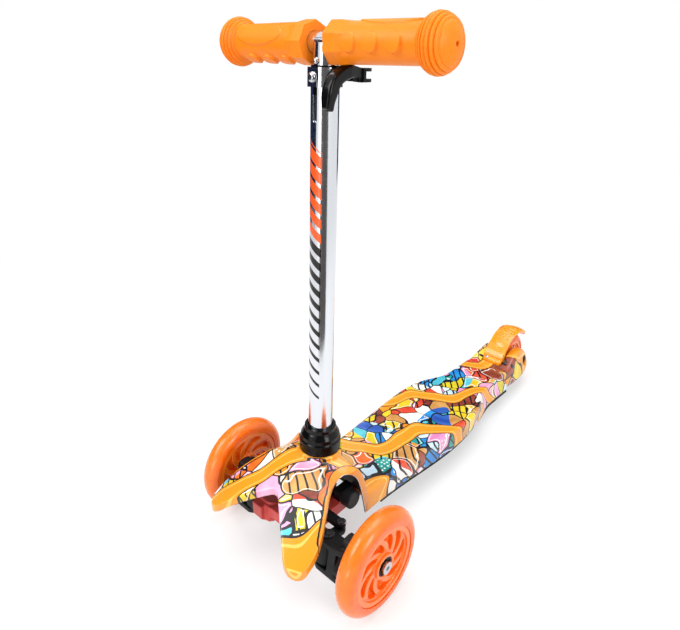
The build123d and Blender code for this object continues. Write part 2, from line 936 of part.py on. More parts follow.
with BuildPart() as rear_fork:
    for back, top, top_half, foot_half, foot in fork_sections:
        with BuildSketch(section(fork_start + back)) as profile:
            with BuildLine():
                Polyline((-foot_half, foot), (-top_half, top), (top_half, top), (foot_half, foot), close=True)
            make_face()
            fillet(profile.vertices(), fork_round)
    loft()
    extrude(
        plate(deck_plane, fork_width, 2 * deck_length),
        amount=deck_length,
        both=True,
        mode=Mode.SUBTRACT,
    )
    extrude(
        disc(side(-slot_half, wheelbase, rear_wheel_radius), slot_radius),
        amount=2 * slot_half,
        mode=Mode.SUBTRACT,
    )
    extrude(
        plate(level(0, wheelbase + rear_wheel_radius), 2 * slot_half, 2 * rear_wheel_radius),
        amount=3 * rear_wheel_radius,
        mode=Mode.SUBTRACT,
    )
    well_plane = side(-well_half, wheelbase, rear_wheel_radius)
    extrude(
        disc(well_plane, fender_outer + 3 * fender_play, slot_radius - fender_play),
        amount=2 * well_half,
        mode=Mode.SUBTRACT,
    )
    extrude(
        disc(side(-well_half, fender_pivot_y, fender_pivot_z), fender_barrel_radius + 2 * fender_play),
        amount=2 * well_half,
        mode=Mode.SUBTRACT,
    )
    pin_half = well_half + fender_pin_grip
    extrude(
        disc(side(-pin_half, fender_pivot_y, fender_pivot_z), fender_pivot_radius + seat_clearance),
        amount=2 * pin_half,
        mode=Mode.SUBTRACT,
    )
    for sign in (1, -1):
        extrude(
            disc(side(sign * bearing_face, wheelbase, rear_wheel_radius), axle_radius + spacer_wall),
            amount=sign * (cheek_face - bearing_face),
        )
        extrude(
            disc(side(sign * cheek_face, wheelbase, rear_wheel_radius), nut_radius + nut_room),
            amount=sign * fork_width,
            mode=Mode.SUBTRACT,
        )
    bolt_hole = axle_radius - running_clearance + seat_clearance
    extrude(
        disc(side(-fork_width, wheelbase, rear_wheel_radius), bolt_hole),
        amount=2 * fork_width,
        mode=Mode.SUBTRACT,
    )
keep(rear_fork, "rear_fork")
keep(axle_bolt(rear_plane, -cheek_face - nut_height, cheek_face), "rear_axle_bolt")
keep(axle_nut(rear_plane, -cheek_face - nut_height), "rear_axle_nut")


# Brake fender on its hinge pin, with the spring that lifts it
fender_span = fender_front_angle - fender_back_angle
fender_middle = (fender_front_angle + fender_back_angle) / 2
fender_tail_y = wheelbase + fender_outer * cos(radians(fender_back_angle))

with BuildPart() as brake_fender:
    fender_plane = side(-fender_half_width, wheelbase, rear_wheel_radius)
    extrude(
        ring_sector(fender_plane, fender_inner, fender_outer, fender_back_angle, fender_span),
        amount=2 * fender_half_width,
    )
    rib_plane = side(fender_corner / 2 - fender_half_width, wheelbase, rear_wheel_radius)
    for rib in range(fender_rib_count):
        start = fender_middle + (rib - fender_rib_count / 2) * fender_rib_angle
        ridge = fender_outer + fender_rib_rise
        extrude(
            ring_sector(rib_plane, fender_inner, ridge, start, fender_rib_angle / 2),
            amount=2 * fender_half_width - fender_corner,
        )
    extrude(
        plate(
            level(0, fender_tail_y - wheelbase / 2),
            2 * fender_half_width,
            wheelbase,
            corner=fender_corner,
        ),
        amount=3 * rear_wheel_radius,
        mode=Mode.INTERSECT,
    )
    barrel_plane = side(-fender_barrel_half, fender_pivot_y, fender_pivot_z)
    extrude(disc(barrel_plane, fender_barrel_radius), amount=2 * fender_barrel_half)
    spring_room = brake_spring_half + air_gap
    extrude(
        disc(side(-spring_room, fender_pivot_y, fender_pivot_z), fender_barrel_radius),
        amount=2 * spring_room,
        mode=Mode.SUBTRACT,
    )
    extrude(
        disc(barrel_plane, fender_pivot_radius + running_clearance),
        amount=2 * fender_barrel_half,
        mode=Mode.SUBTRACT,
    )
keep(brake_fender, "brake_fender")

with BuildPart() as fender_pin:
    extrude(disc(side(-pin_half, fender_pivot_y, fender_pivot_z), fender_pivot_radius), amount=2 * pin_half)
keep(fender_pin, "fender_pin")

with BuildPart() as brake_spring:
    coil_length = 2 * brake_spring_half - brake_spring_wire
    coil_start = (-coil_length / 2, front_axle_y + fender_pivot_y, fender_pivot_z)
    with BuildLine() as coil:
        Helix(coil_length / brake_spring_turns, coil_length, brake_spring_radius, coil_start, (1, 0, 0))
    with BuildSketch(Plane(coil.line @ 0, z_dir=coil.line % 0)):
        Circle(brake_spring_wire / 2)
    sweep(path=coil.line, is_frenet=True)
keep(brake_spring, "brake_spring")


# Stem
with BuildPart() as base_ring:
    with BuildSketch(stem_front(0, 0)):
        with BuildLine():
            Polyline(
                (lower_tube_radius + seat_clearance, 0),
                (base_ring_radius, 0),
                (base_ring_radius, base_ring_band),
                (base_ring_radius - base_ring_groove, base_ring_band + base_ring_groove),
                (base_ring_radius - base_ring_groove, base_ring_shoulder),
                (base_ring_lip + base_ring_groove, base_ring_neck - base_ring_groove),
                (base_ring_lip, base_ring_neck),
                (base_ring_lip, base_ring_height),
                (lower_tube_radius + seat_clearance, base_ring_height),
                close=True,
            )
        make_face()
    revolve(axis=Axis(stem.origin, stem.z_dir))
keep(base_ring, "base_ring")

tube_inner = lower_tube_radius - lower_tube_wall
slot_half_length = collar_height + guide_slot_length
with BuildPart() as lower_tube:
    extrude(
        disc(stem.offset(-socket_depth), lower_tube_radius, tube_inner),
        amount=lower_tube_top + socket_depth,
    )
    extrude(
        slot(stem_front(0, lower_tube_top), 2 * slot_half_length, guide_slot_width, turn=90),
        amount=2 * lower_tube_radius,
        mode=Mode.SUBTRACT,
    )
    extrude(
        plate(stem.offset(lower_tube_top), clamp_slit_width, 2 * lower_tube_radius, y=lower_tube_radius),
        amount=-clamp_slit_length,
        mode=Mode.SUBTRACT,
    )
    extrude(
        disc(stem_side(-lower_tube_radius, 0, -stem_bolt_depth), stem_bolt_radius + seat_clearance),
        amount=2 * lower_tube_radius,
        mode=Mode.SUBTRACT,
    )
keep(lower_tube, "lower_tube")

bush_inner = upper_tube_radius + running_clearance
with BuildPart() as tube_bush:
    extrude(
        disc(stem.offset(lower_tube_top - tube_bush_length), tube_inner - seat_clearance, bush_inner),
        amount=tube_bush_length,
    )
    extrude(disc(stem.offset(lower_tube_top), lower_tube_radius, bush_inner), amount=tube_bush_flange)
keep(tube_bush, "tube_bush")

button_height = bar_height - button_drop
with BuildPart() as upper_tube:
    extrude(
        disc(stem.offset(upper_tube_bottom), upper_tube_radius, upper_tube_radius - upper_tube_wall),
        amount=bar_height - upper_tube_bottom,
    )
    extrude(
        disc(stem_side(-upper_tube_radius, 0, bar_height), bar_radius + seat_clearance),
        amount=2 * upper_tube_radius,
        mode=Mode.SUBTRACT,
    )
    extrude(
        disc(stem_front(0, button_height), button_radius + running_clearance),
        amount=upper_tube_radius,
        mode=Mode.SUBTRACT,
    )
keep(upper_tube, "upper_tube")

with BuildPart() as slide_bush:
    slide_outer = tube_inner - running_clearance
    slide_inner = upper_tube_radius + seat_clearance
    extrude(disc(stem.offset(upper_tube_bottom), slide_outer, slide_inner), amount=slide_bush_length)
keep(slide_bush, "slide_bush")

with BuildPart() as cross_tube:
    extrude(
        disc(stem_side(-bar_half_length, 0, bar_height), bar_radius, bar_radius - bar_wall),
        amount=2 * bar_half_length,
    )
keep(cross_tube, "cross_tube")

button_back = button_length - button_rise - upper_tube_radius
with BuildPart() as snap_button:
    button_plane = stem_front(button_back, button_height)
    extrude(disc(button_plane, button_radius), amount=button_length)
    tip = snap_button.edges().filter_by(GeomType.CIRCLE).sort_by(Axis.Y)[0]
    fillet(tip, button_radius - running_clearance)
    extrude(disc(button_plane, button_radius + button_flange), amount=-button_flange)
keep(snap_button, "snap_button")

# Folded leaf spring behind the button
leaf_front = button_back + button_flange + button_spring_leaf / 2
leaf_back = upper_tube_radius - upper_tube_wall - 2 * button_spring_leaf - button_travel
with BuildPart() as button_spring:
    with BuildSketch(stem_side(-button_spring_width / 2, 0, button_height)):
        with BuildLine():
            Polyline(
                (leaf_front, button_radius),
                (leaf_front, -button_radius),
                (0, -button_spring_length),
                (leaf_back, -button_radius),
            )
        trace(line_width=button_spring_leaf)
    extrude(amount=button_spring_width)
keep(button_spring, "button_spring")


# Quick-release clamp
collar_low = lower_tube_top - collar_height
collar_outer = lower_tube_radius + collar_wall
cam_low = lower_tube_top - cam_drop - cam_height / 2
screw_height = collar_low + collar_height / 2
bolt_height = lower_tube_top - cam_drop
collar_plane = stem.offset(collar_low)
ear_face = ear_width + ear_gap / 2
pad_face = collar_outer + collar_pad_rise
screw_tip = guide_slot_width / 2 - air_gap

with BuildPart() as clamp_collar:
    extrude(disc(collar_plane, collar_outer), amount=collar_height)
    ear_plane = stem.offset(lower_tube_top - 2 * cam_drop)
    extrude(plate(ear_plane, 2 * ear_face, ear_reach, y=ear_reach / 2), amount=2 * cam_drop)
    extrude(plate(collar_plane, collar_pad_width, pad_face, y=-pad_face / 2), amount=collar_height)
    extrude(
        disc(collar_plane, lower_tube_radius + seat_clearance),
        amount=collar_height,
        mode=Mode.SUBTRACT,
    )
    extrude(
        plate(collar_plane, ear_gap, ear_reach, y=ear_reach / 2),
        amount=collar_height,
        mode=Mode.SUBTRACT,
    )
    extrude(
        disc(stem_side(-ear_face, clamp_bolt_setback, bolt_height), clamp_bolt_radius + seat_clearance),
        amount=2 * ear_face,
        mode=Mode.SUBTRACT,
    )
    extrude(
        disc(stem_front(0, screw_height), screw_tip + seat_clearance),
        amount=pad_face,
        mode=Mode.SUBTRACT,
    )
keep(clamp_collar, "clamp_collar")

with BuildPart() as guide_screw:
    tip_setback = tube_inner + seat_clearance
    extrude(disc(stem_front(-tip_setback, screw_height), screw_tip), amount=pad_face - tip_setback)
    extrude(disc(stem_front(-pad_face, screw_height), guide_head_radius), amount=guide_head_height)
    dome = guide_screw.edges().filter_by(GeomType.CIRCLE).sort_by(Axis.Y)[0]
    fillet(dome, guide_head_height - running_clearance)
keep(guide_screw, "guide_screw")

with BuildPart() as clamp_bolt:
    bolt_start = ear_face + clamp_nut_height + seat_clearance
    extrude(
        disc(stem_side(-bolt_start, clamp_bolt_setback, bolt_height), clamp_bolt_radius),
        amount=bolt_start + cam_offset,
    )
keep(clamp_bolt, "clamp_bolt")

with BuildPart() as clamp_nut:
    nut_plane = stem_side(-ear_face, clamp_bolt_setback, bolt_height)
    extrude(hexagon(nut_plane, clamp_nut_radius), amount=-clamp_nut_height)
    extrude(disc(nut_plane, clamp_bolt_radius + seat_clearance), amount=-clamp_nut_height, mode=Mode.SUBTRACT)
keep(clamp_nut, "clamp_nut")

with BuildPart() as cam_washer:
    washer_plane = stem_side(ear_face, clamp_bolt_setback, bolt_height)
    extrude(plate(washer_plane, cam_washer_width, cam_height - air_gap), amount=cam_offset - ear_face)
    extrude(
        disc(collar_plane, cam_radius + axial_play, x=cam_offset, y=clamp_bolt_setback),
        amount=collar_height,
        mode=Mode.SUBTRACT,
    )
    extrude(
        disc(washer_plane, clamp_bolt_radius + seat_clearance),
        amount=cam_offset - ear_face,
        mode=Mode.SUBTRACT,
    )
keep(cam_washer, "cam_washer")

with BuildPart() as barrel_pin:
    extrude(
        disc(stem.offset(cam_low - air_gap), barrel_radius, x=cam_offset, y=clamp_bolt_setback),
        amount=cam_height + air_gap,
    )
    extrude(
        disc(stem_side(0, clamp_bolt_setback, bolt_height), clamp_bolt_radius + seat_clearance),
        amount=cam_offset,
        mode=Mode.SUBTRACT,
    )
keep(barrel_pin, "barrel_pin")

with BuildPart() as clamp_lever:
    with BuildSketch(stem_side(cam_offset - lever_width / 2, 0, lower_tube_top)):
        with BuildLine():
            knee = -0.6 * lever_reach
            top = Spline(
                (clamp_bolt_setback, 0),
                (0, lever_rise),
                (knee, -0.2 * lever_droop),
                (-lever_reach, -lever_droop),
                tangents=((-1, 0), (-0.2, -1)),
            )
            tip = Line(top @ 1, (0.9 * lever_thickness - lever_reach, -lever_droop - lever_thickness / 4))
            low = Spline(
                tip @ 1,
                (knee + 0.8 * lever_thickness, -0.2 * lever_droop - 0.6 * lever_thickness),
                (lever_thickness / 5, lever_rise - lever_thickness),
                (clamp_bolt_setback, -1.1 * lever_thickness),
                tangents=((0.2, 1), (1, -0.3)),
            )
            Line(low @ 1, top @ 0)
        make_face()
    extrude(amount=lever_width)
    extrude(disc(stem.offset(cam_low), cam_radius, x=cam_offset, y=clamp_bolt_setback), amount=cam_height)
    extrude(
        disc(stem.offset(cam_low), barrel_radius + running_clearance, x=cam_offset, y=clamp_bolt_setback),
        amount=2 * collar_height,
        mode=Mode.SUBTRACT,
    )
    bolt_room = clamp_bolt_radius + air_gap
    extrude(
        plate(
            stem.offset(bolt_height - bolt_room),
            3 * cam_radius,
            2 * cam_radius,
            x=cam_offset,
            y=clamp_bolt_setback + cam_radius - bolt_room,
        ),
        amount=2 * bolt_room,
        mode=Mode.SUBTRACT,
    )
keep(clamp_lever, "clamp_lever")


# Grips: an octagonal flange, a round body with raised pads, and a ribbed knob at the end
def knob_bulge(x):
    if x < knob_crown:
        share = (x - knob_start) / (knob_crown - knob_start)
        return grip_radius + (knob_radius - grip_radius) * sin(radians(90 * share))
    share = (x - knob_crown) / (knob_end - knob_crown)
    return knob_face_radius + (knob_radius - knob_face_radius) * cos(radians(90 * share))


def knob_points():
    pitch = (knob_end - knob_start) / rib_count
    for rib in range(rib_count):
        for offset, depth in ((0.0, rib_depth), (0.0, 0.0), (0.6, 0.0), (0.6, rib_depth)):
            x = knob_start + (rib + offset) * pitch
            yield x, knob_bulge(x) - depth


bore_radius = bar_radius + seat_clearance
for name, sign in sides:
    turn = 0.0 if name == "left" else right_grip_turn
    flange_plane = stem_side(sign * grip_inner, 0, bar_height)

    with BuildPart() as grip_pads:
        with BuildSketch(stem_front(0, bar_height, -turn)):
            for spot in range(grip_disc_count):
                with Locations((sign * (grip_disc_first + spot * grip_disc_pitch), 0)):
                    Circle(grip_disc_radius)
        extrude(amount=knob_radius)
        with BuildSketch(stem_front(0, bar_height, 90 - turn)):
            with Locations((sign * pad_centre, 0)):
                Ellipse(pad_half_length, pad_half_width)
        extrude(amount=knob_radius)
        extrude(
            disc(flange_plane, grip_radius + pad_rise, grip_radius - pad_rise),
            amount=sign * (grip_outer - grip_inner),
            mode=Mode.INTERSECT,
        )

    with BuildPart() as grip:
        with BuildSketch(stem_front(0, bar_height)):
            with BuildLine():
                bar_end = bar_half_length + axial_play
                face = ThreePointArc(
                    (sign * knob_end, knob_face_radius - rib_depth),
                    (sign * (grip_outer + 2 * knob_end) / 3, 0.8 * knob_face_radius),
                    (sign * grip_outer, end_hole_radius),
                )
                inside = [(bar_end, end_hole_radius), (bar_end, bore_radius)]
                inside += [(grip_inner + flange_length, radius) for radius in (bore_radius, grip_radius)]
                ribs = [(sign * x, radius) for x, radius in (*inside, *knob_points())]
                Polyline(face @ 1, *ribs, face @ 0)
            make_face()
        revolve(axis=Axis(flange_plane.origin, stem.x_dir))
        with BuildSketch(flange_plane):
            RegularPolygon(flange_half_height, 8, major_radius=False, rotation=22.5 + turn)
        extrude(amount=sign * flange_length)
        with BuildSketch(stem_side(sign * (grip_inner + flange_length), 0, bar_height)):
            RegularPolygon(flange_half_height, 8, major_radius=False, rotation=22.5 + turn)
        extrude(amount=sign * flange_taper_length, taper=flange_taper)
        add(grip_pads.part)
        extrude(
            disc(flange_plane, bore_radius),
            amount=sign * (bar_half_length - grip_inner),
            mode=Mode.SUBTRACT,
        )
    keep(grip, f"{name}_grip")
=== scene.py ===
import json
import math
import bpy
from mathutils import Matrix, Vector
from mathutils.bvhtree import BVHTree
from mathutils.kdtree import KDTree


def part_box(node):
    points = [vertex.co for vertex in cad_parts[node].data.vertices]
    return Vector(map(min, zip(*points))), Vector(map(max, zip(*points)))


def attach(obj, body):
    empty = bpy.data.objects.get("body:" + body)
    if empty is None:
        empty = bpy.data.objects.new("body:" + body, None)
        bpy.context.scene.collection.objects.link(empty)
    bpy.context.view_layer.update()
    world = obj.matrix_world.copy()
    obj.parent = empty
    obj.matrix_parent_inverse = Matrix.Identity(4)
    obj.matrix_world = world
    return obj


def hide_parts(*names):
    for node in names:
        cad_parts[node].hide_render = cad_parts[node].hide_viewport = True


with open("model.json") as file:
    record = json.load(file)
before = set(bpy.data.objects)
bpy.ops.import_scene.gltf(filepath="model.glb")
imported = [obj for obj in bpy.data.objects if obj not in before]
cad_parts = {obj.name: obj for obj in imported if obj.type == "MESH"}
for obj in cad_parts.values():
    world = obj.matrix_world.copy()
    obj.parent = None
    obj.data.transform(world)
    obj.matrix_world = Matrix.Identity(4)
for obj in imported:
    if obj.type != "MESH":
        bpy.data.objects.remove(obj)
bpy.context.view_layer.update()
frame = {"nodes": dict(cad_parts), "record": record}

nodes = frame["nodes"]
record = frame["record"]
bodyOf = {node: body for body, members in record["behaviour"]["bodies"].items() for node in members}


# camera, at the photograph's viewing angle in a frame of 680 by 630
camera = {
    "place": (0.41535, -0.59395, 0.60044),
    "right": (0.73426, 0.67870, -0.01494),
    "up": (-0.22292, 0.26184, 0.93901),
    "sensor": 36.0,
    "lens": 30.89,
    "shift": (-0.0078, -0.1112),
    "near": 0.01,
}
bpy.ops.object.camera_add()
cameraObject = bpy.context.object
cameraRight, cameraUp = Vector(camera["right"]), Vector(camera["up"])
turn = Matrix((cameraRight, cameraUp, cameraRight.cross(cameraUp))).transposed()
cameraObject.matrix_world = Matrix.Translation(camera["place"]) @ turn.to_4x4()
cameraObject.data.sensor_width = camera["sensor"]
cameraObject.data.lens = camera["lens"]
cameraObject.data.shift_x, cameraObject.data.shift_y = camera["shift"]
cameraObject.data.clip_start = camera["near"]
bpy.context.scene.camera = cameraObject
bpy.context.scene.view_settings.view_transform = "Standard"
print("camera set")


# the middle of a node's box at rest, and half its size
def middleAndHalf(node):
    low, high = (Vector(corner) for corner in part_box(node))
    return (low + high) / 2, (high - low) / 2


# how far a value has come from start to end, held between 0 and 1
def fraction(value, start, end):
    return min(max((value - start) / (end - start), 0.0), 1.0)


# colours are written in sRGB, and the shaders take linear light
def linear(hexColour):
    parts = [int(hexColour[i:i + 2], 16) / 255 for i in (1, 3, 5)]
    return [c / 12.92 if c <= 0.04045 else ((c + 0.055) / 1.055) ** 2.4 for c in parts] + [1.0]


# adds one node: settings are its own options, inputs are values or sockets to link from
def addNode(tree, kind, settings, inputs):
    node = tree.nodes.new(kind)
    for name, value in settings.items():
        setattr(node, name, value)
    for socket, value in inputs.items():
        if isinstance(value, bpy.types.NodeSocket):
            tree.links.new(value, node.inputs[socket])
        else:
            node.inputs[socket].default_value = value
    return node


# a material with its shader's own values set, and Object coordinates for its patterns
def startMaterial(name, values):
    material = bpy.data.materials.new(name)
    material.use_nodes = True
    tree = material.node_tree
    shader = tree.nodes["Principled BSDF"]
    for socket, value in values.items():
        shader.inputs[socket].default_value = linear(value) if isinstance(value, str) else value
    coords = addNode(tree, "ShaderNodeTexCoord", {}, {}).outputs["Object"]
    return material, tree, shader, coords


noiseSpan = (0.3, 0.7)  # most of a noise texture's values lie between these
fullSpan = (0.0, 1.0)
mouldRelief = 0.25  # height of a moulded grain, as a share of its width
drawRelief = 0.1  # the same for the lines on drawn metal


# roughness that varies with one pattern, and another pattern that stands up a little
def addSkin(tree, shader, skin, patches, span, grain, height):
    gloss = addNode(tree, "ShaderNodeMapRange", {}, {
        "Value": patches.outputs["Fac"], "From Min": span[0], "From Max": span[1],
        "To Min": skin["gloss"][0], "To Max": skin["gloss"][1]})
    tree.links.new(gloss.outputs["Result"], shader.inputs["Roughness"])
    bump = addNode(tree, "ShaderNodeBump", {}, {
        "Strength": skin["bump"], "Distance": height, "Height": grain.outputs["Fac"]})
    tree.links.new(bump.outputs["Normal"], shader.inputs["Normal"])


# moulded and cast finishes: slow colour drift, a fine skin and patches of handling gloss
def mouldedMaterial(name, values, skin):
    material, tree, shader, coords = startMaterial(name, values)
    drift = addNode(tree, "ShaderNodeTexNoise", {}, {
        "Vector": coords, "Scale": 1 / skin["drift"], "Detail": 2.0})
    tint = addNode(tree, "ShaderNodeMix", {"data_type": "RGBA"}, {
        0: drift.outputs["Fac"], 6: linear(skin["low"]), 7: linear(skin["high"])})
    tree.links.new(tint.outputs[2], shader.inputs["Base Color"])
    grain = addNode(tree, "ShaderNodeTexNoise", {}, {
        "Vector": coords, "Scale": 1 / skin["grain"], "Detail": 3.0})
    addSkin(tree, shader, skin, drift, noiseSpan, grain, skin["grain"] * mouldRelief)
    return material


# thermoplastic rubber, injection moulded: satin, deep orange, light goes a little way in
gripRubber = mouldedMaterial("orangeRubber", {
    "IOR": 1.5, "Specular IOR Level": 0.28,
    "Subsurface Weight": 0.2, "Subsurface Radius": (0.005, 0.0022, 0.0006), "Subsurface Scale": 1.0,
}, {"low": "#FF7E08", "high": "#FF8E12", "drift": 0.05, "grain": 0.0008, "gloss": (0.36, 0.46), "bump": 0.1})

# cast polyurethane tyre: clear orange resin with a polished skin, paler where it is thin at the tread,
# with the notched edge of the hub's rim showing through as a deeper band
tyre = {
    "deep": "#FF6204", "pale": "#FF7C1C", "rimShare": 0.84, "band": 0.0035, "bandSoft": 0.0012,
    "notches": 24, "notch": 0.002, "notchEdge": 0.35,
    "skin": {"grain": 0.0015, "gloss": (0.18, 0.3), "bump": 0.03},
}


def tyreMaterial(name, centre, rimRadius, treadRadius):
    material, tree, shader, coords = startMaterial(name, {
        "IOR": 1.5, "Specular IOR Level": 0.4, "Subsurface Weight": 0.6, "Subsurface Scale": 1.0,
        "Subsurface Radius": (0.01, 0.004, 0.001), "Coat Weight": 0.3, "Coat Roughness": 0.08})
    local = addNode(tree, "ShaderNodeVectorMath", {"operation": "SUBTRACT"}, {0: coords, 1: centre})
    axes = addNode(tree, "ShaderNodeSeparateXYZ", {}, {0: local.outputs[0]})
    flat = addNode(tree, "ShaderNodeCombineXYZ", {}, {1: axes.outputs[1], 2: axes.outputs[2]})
    radius = addNode(tree, "ShaderNodeVectorMath", {"operation": "LENGTH"}, {0: flat.outputs[0]})
    angle = addNode(tree, "ShaderNodeMath", {"operation": "ARCTAN2"}, {
        0: axes.outputs[2], 1: axes.outputs[1]})
    turns = addNode(tree, "ShaderNodeMath", {"operation": "MULTIPLY"}, {
        0: angle.outputs[0], 1: tyre["notches"]})
    tooth = addNode(tree, "ShaderNodeMath", {"operation": "SINE"}, {0: turns.outputs[0]})
    bandEdge = rimRadius + tyre["band"]
    reach = addNode(tree, "ShaderNodeMapRange", {"interpolation_type": "SMOOTHSTEP"}, {
        "Value": tooth.outputs[0], "From Min": -tyre["notchEdge"], "From Max": tyre["notchEdge"],
        "To Min": bandEdge, "To Max": bandEdge + tyre["notch"]})
    depth = addNode(tree, "ShaderNodeMath", {"operation": "SUBTRACT"}, {
        0: radius.outputs["Value"], 1: reach.outputs["Result"]})
    thin = addNode(tree, "ShaderNodeMapRange", {"interpolation_type": "SMOOTHSTEP"}, {
        "Value": depth.outputs[0], "From Min": -tyre["bandSoft"], "From Max": treadRadius - bandEdge})
    tint = addNode(tree, "ShaderNodeMix", {"data_type": "RGBA"}, {
        0: thin.outputs["Result"], 6: linear(tyre["deep"]), 7: linear(tyre["pale"])})
    tree.links.new(tint.outputs[2], shader.inputs["Base Color"])
    skin = tyre["skin"]
    grain = addNode(tree, "ShaderNodeTexNoise", {}, {
        "Vector": coords, "Scale": 1 / skin["grain"], "Detail": 2.0})
    addSkin(tree, shader, skin, grain, fullSpan, grain, skin["grain"] * mouldRelief)
    return material


tyres = {}
for side in ("left", "right", "rear"):
    centre, half = middleAndHalf(f"{side}_wheel_tyre")
    rimHalf = middleAndHalf(f"{side}_wheel_hub")[1]
    tyres[side] = tyreMaterial(
        f"castPolyurethane{side.title()}", centre, rimHalf.z * tyre["rimShare"], half.z)

# hub of clear polycarbonate dyed orange: glossy, light goes a little way into its spokes
hubResin = mouldedMaterial("dyedPolycarbonate", {
    "IOR": 1.58, "Coat Weight": 0.3, "Coat Roughness": 0.1,
    "Subsurface Weight": 0.25, "Subsurface Radius": (0.004, 0.0018, 0.0005), "Subsurface Scale": 1.0,
}, {"low": "#FF7210", "high": "#FF821C", "drift": 0.02, "grain": 0.0012, "gloss": (0.18, 0.3), "bump": 0.04})

# fender of clear amber polycarbonate: glows yellow where light comes through
fenderResin = mouldedMaterial("amberPolycarbonate", {
    "IOR": 1.58, "Specular IOR Level": 0.4, "Coat Weight": 0.3, "Coat Roughness": 0.1,
    "Subsurface Weight": 0.5, "Subsurface Radius": (0.008, 0.005, 0.0008), "Subsurface Scale": 1.0,
}, {"low": "#FF9008", "high": "#FFAA1E", "drift": 0.02, "grain": 0.0012, "gloss": (0.2, 0.3), "bump": 0.04})

# glossy ABS of the base ring, lever, bush and cam washer: deep black with small clear highlights
glossBlack = mouldedMaterial("glossBlackAbs", {"IOR": 1.54, "Specular IOR Level": 0.2}, {
    "low": "#050506", "high": "#0C0C0E", "drift": 0.03, "grain": 0.0012, "gloss": (0.12, 0.22), "bump": 0.04})

# glass-filled nylon of knuckles, tie rod and deck base: satin black with a sparked skin
satinBlack = mouldedMaterial("satinBlackNylon", {"IOR": 1.53, "Specular IOR Level": 0.25}, {
    "low": "#0A0A0C", "high": "#151517", "drift": 0.02, "grain": 0.0009, "gloss": (0.42, 0.6), "bump": 0.25})

# rubber buffers: dull dark grey
bufferRubber = mouldedMaterial("bufferRubber", {"IOR": 1.5}, {
    "low": "#17181B", "high": "#26272B", "drift": 0.01, "grain": 0.0008, "gloss": (0.6, 0.75), "bump": 0.2})

# red nylon cradle, moulded: satin, with soft highlights
redNylon = mouldedMaterial("redNylon", {"IOR": 1.53}, {
    "low": "#D0403A", "high": "#E2524A", "drift": 0.03, "grain": 0.001, "gloss": (0.38, 0.52), "bump": 0.15})


# drawn and polished metal: fine lines along the draw, coarser than real ones so that they show
def metalMaterial(name, drawn):
    material, tree, shader, coords = startMaterial(name, {"Metallic": 1.0, "Base Color": drawn["colour"]})
    stretch = addNode(tree, "ShaderNodeMapping", {}, {"Vector": coords, "Scale": drawn["stretch"]})
    lines = addNode(tree, "ShaderNodeTexNoise", {}, {
        "Vector": stretch.outputs["Vector"], "Scale": 1 / drawn["line"], "Detail": 4.0})
    addSkin(tree, shader, drawn, lines, noiseSpan, lines, drawn["line"] * drawRelief)
    return material, tree, shader, coords


# extruded aluminium tube, polished and clear anodised: bright, with reflections drawn out along it
drawnTube = {
    "colour": "#DDE0E5", "stretch": (1.0, 1.0, 0.04), "line": 0.0008, "gloss": (0.12, 0.2), "bump": 0.05}
aluminium = metalMaterial("polishedAluminium", drawnTube)[0]

# turned steel, zinc plated: pale grey with small bright highlights
steel = metalMaterial("zincSteel", {
    "colour": "#C6C8CC", "stretch": (1.0, 1.0, 1.0), "line": 0.003, "gloss": (0.18, 0.28), "bump": 0.02})[0]

# black-oxide steel of the bearing shields and the fender's pin: dark, with dull highlights; on the pin it is
# partly painted shade, dark so that the pin reads as the shadow in the gaps beside the fender's foot
darkSteelAndGapShade = metalMaterial("blackOxideSteel", {
    "colour": "#2C2C30", "stretch": (1.0, 1.0, 1.0), "line": 0.002, "gloss": (0.3, 0.42), "bump": 0.02})[0]

# the lower tube is the polished aluminium, with plain slanted bars of ink down its front
stemPrint = {
    "foot": (0.0, -0.1995, 0.1305), "lean": 3.4, "halfWidth": 0.0085, "pitch": 0.0155, "slant": 0.8,
    "low": 0.066, "change": 0.262, "high": 0.358, "share": (0.2, 0.82),
    "orange": "#EE5A1E", "black": "#16130F",
}


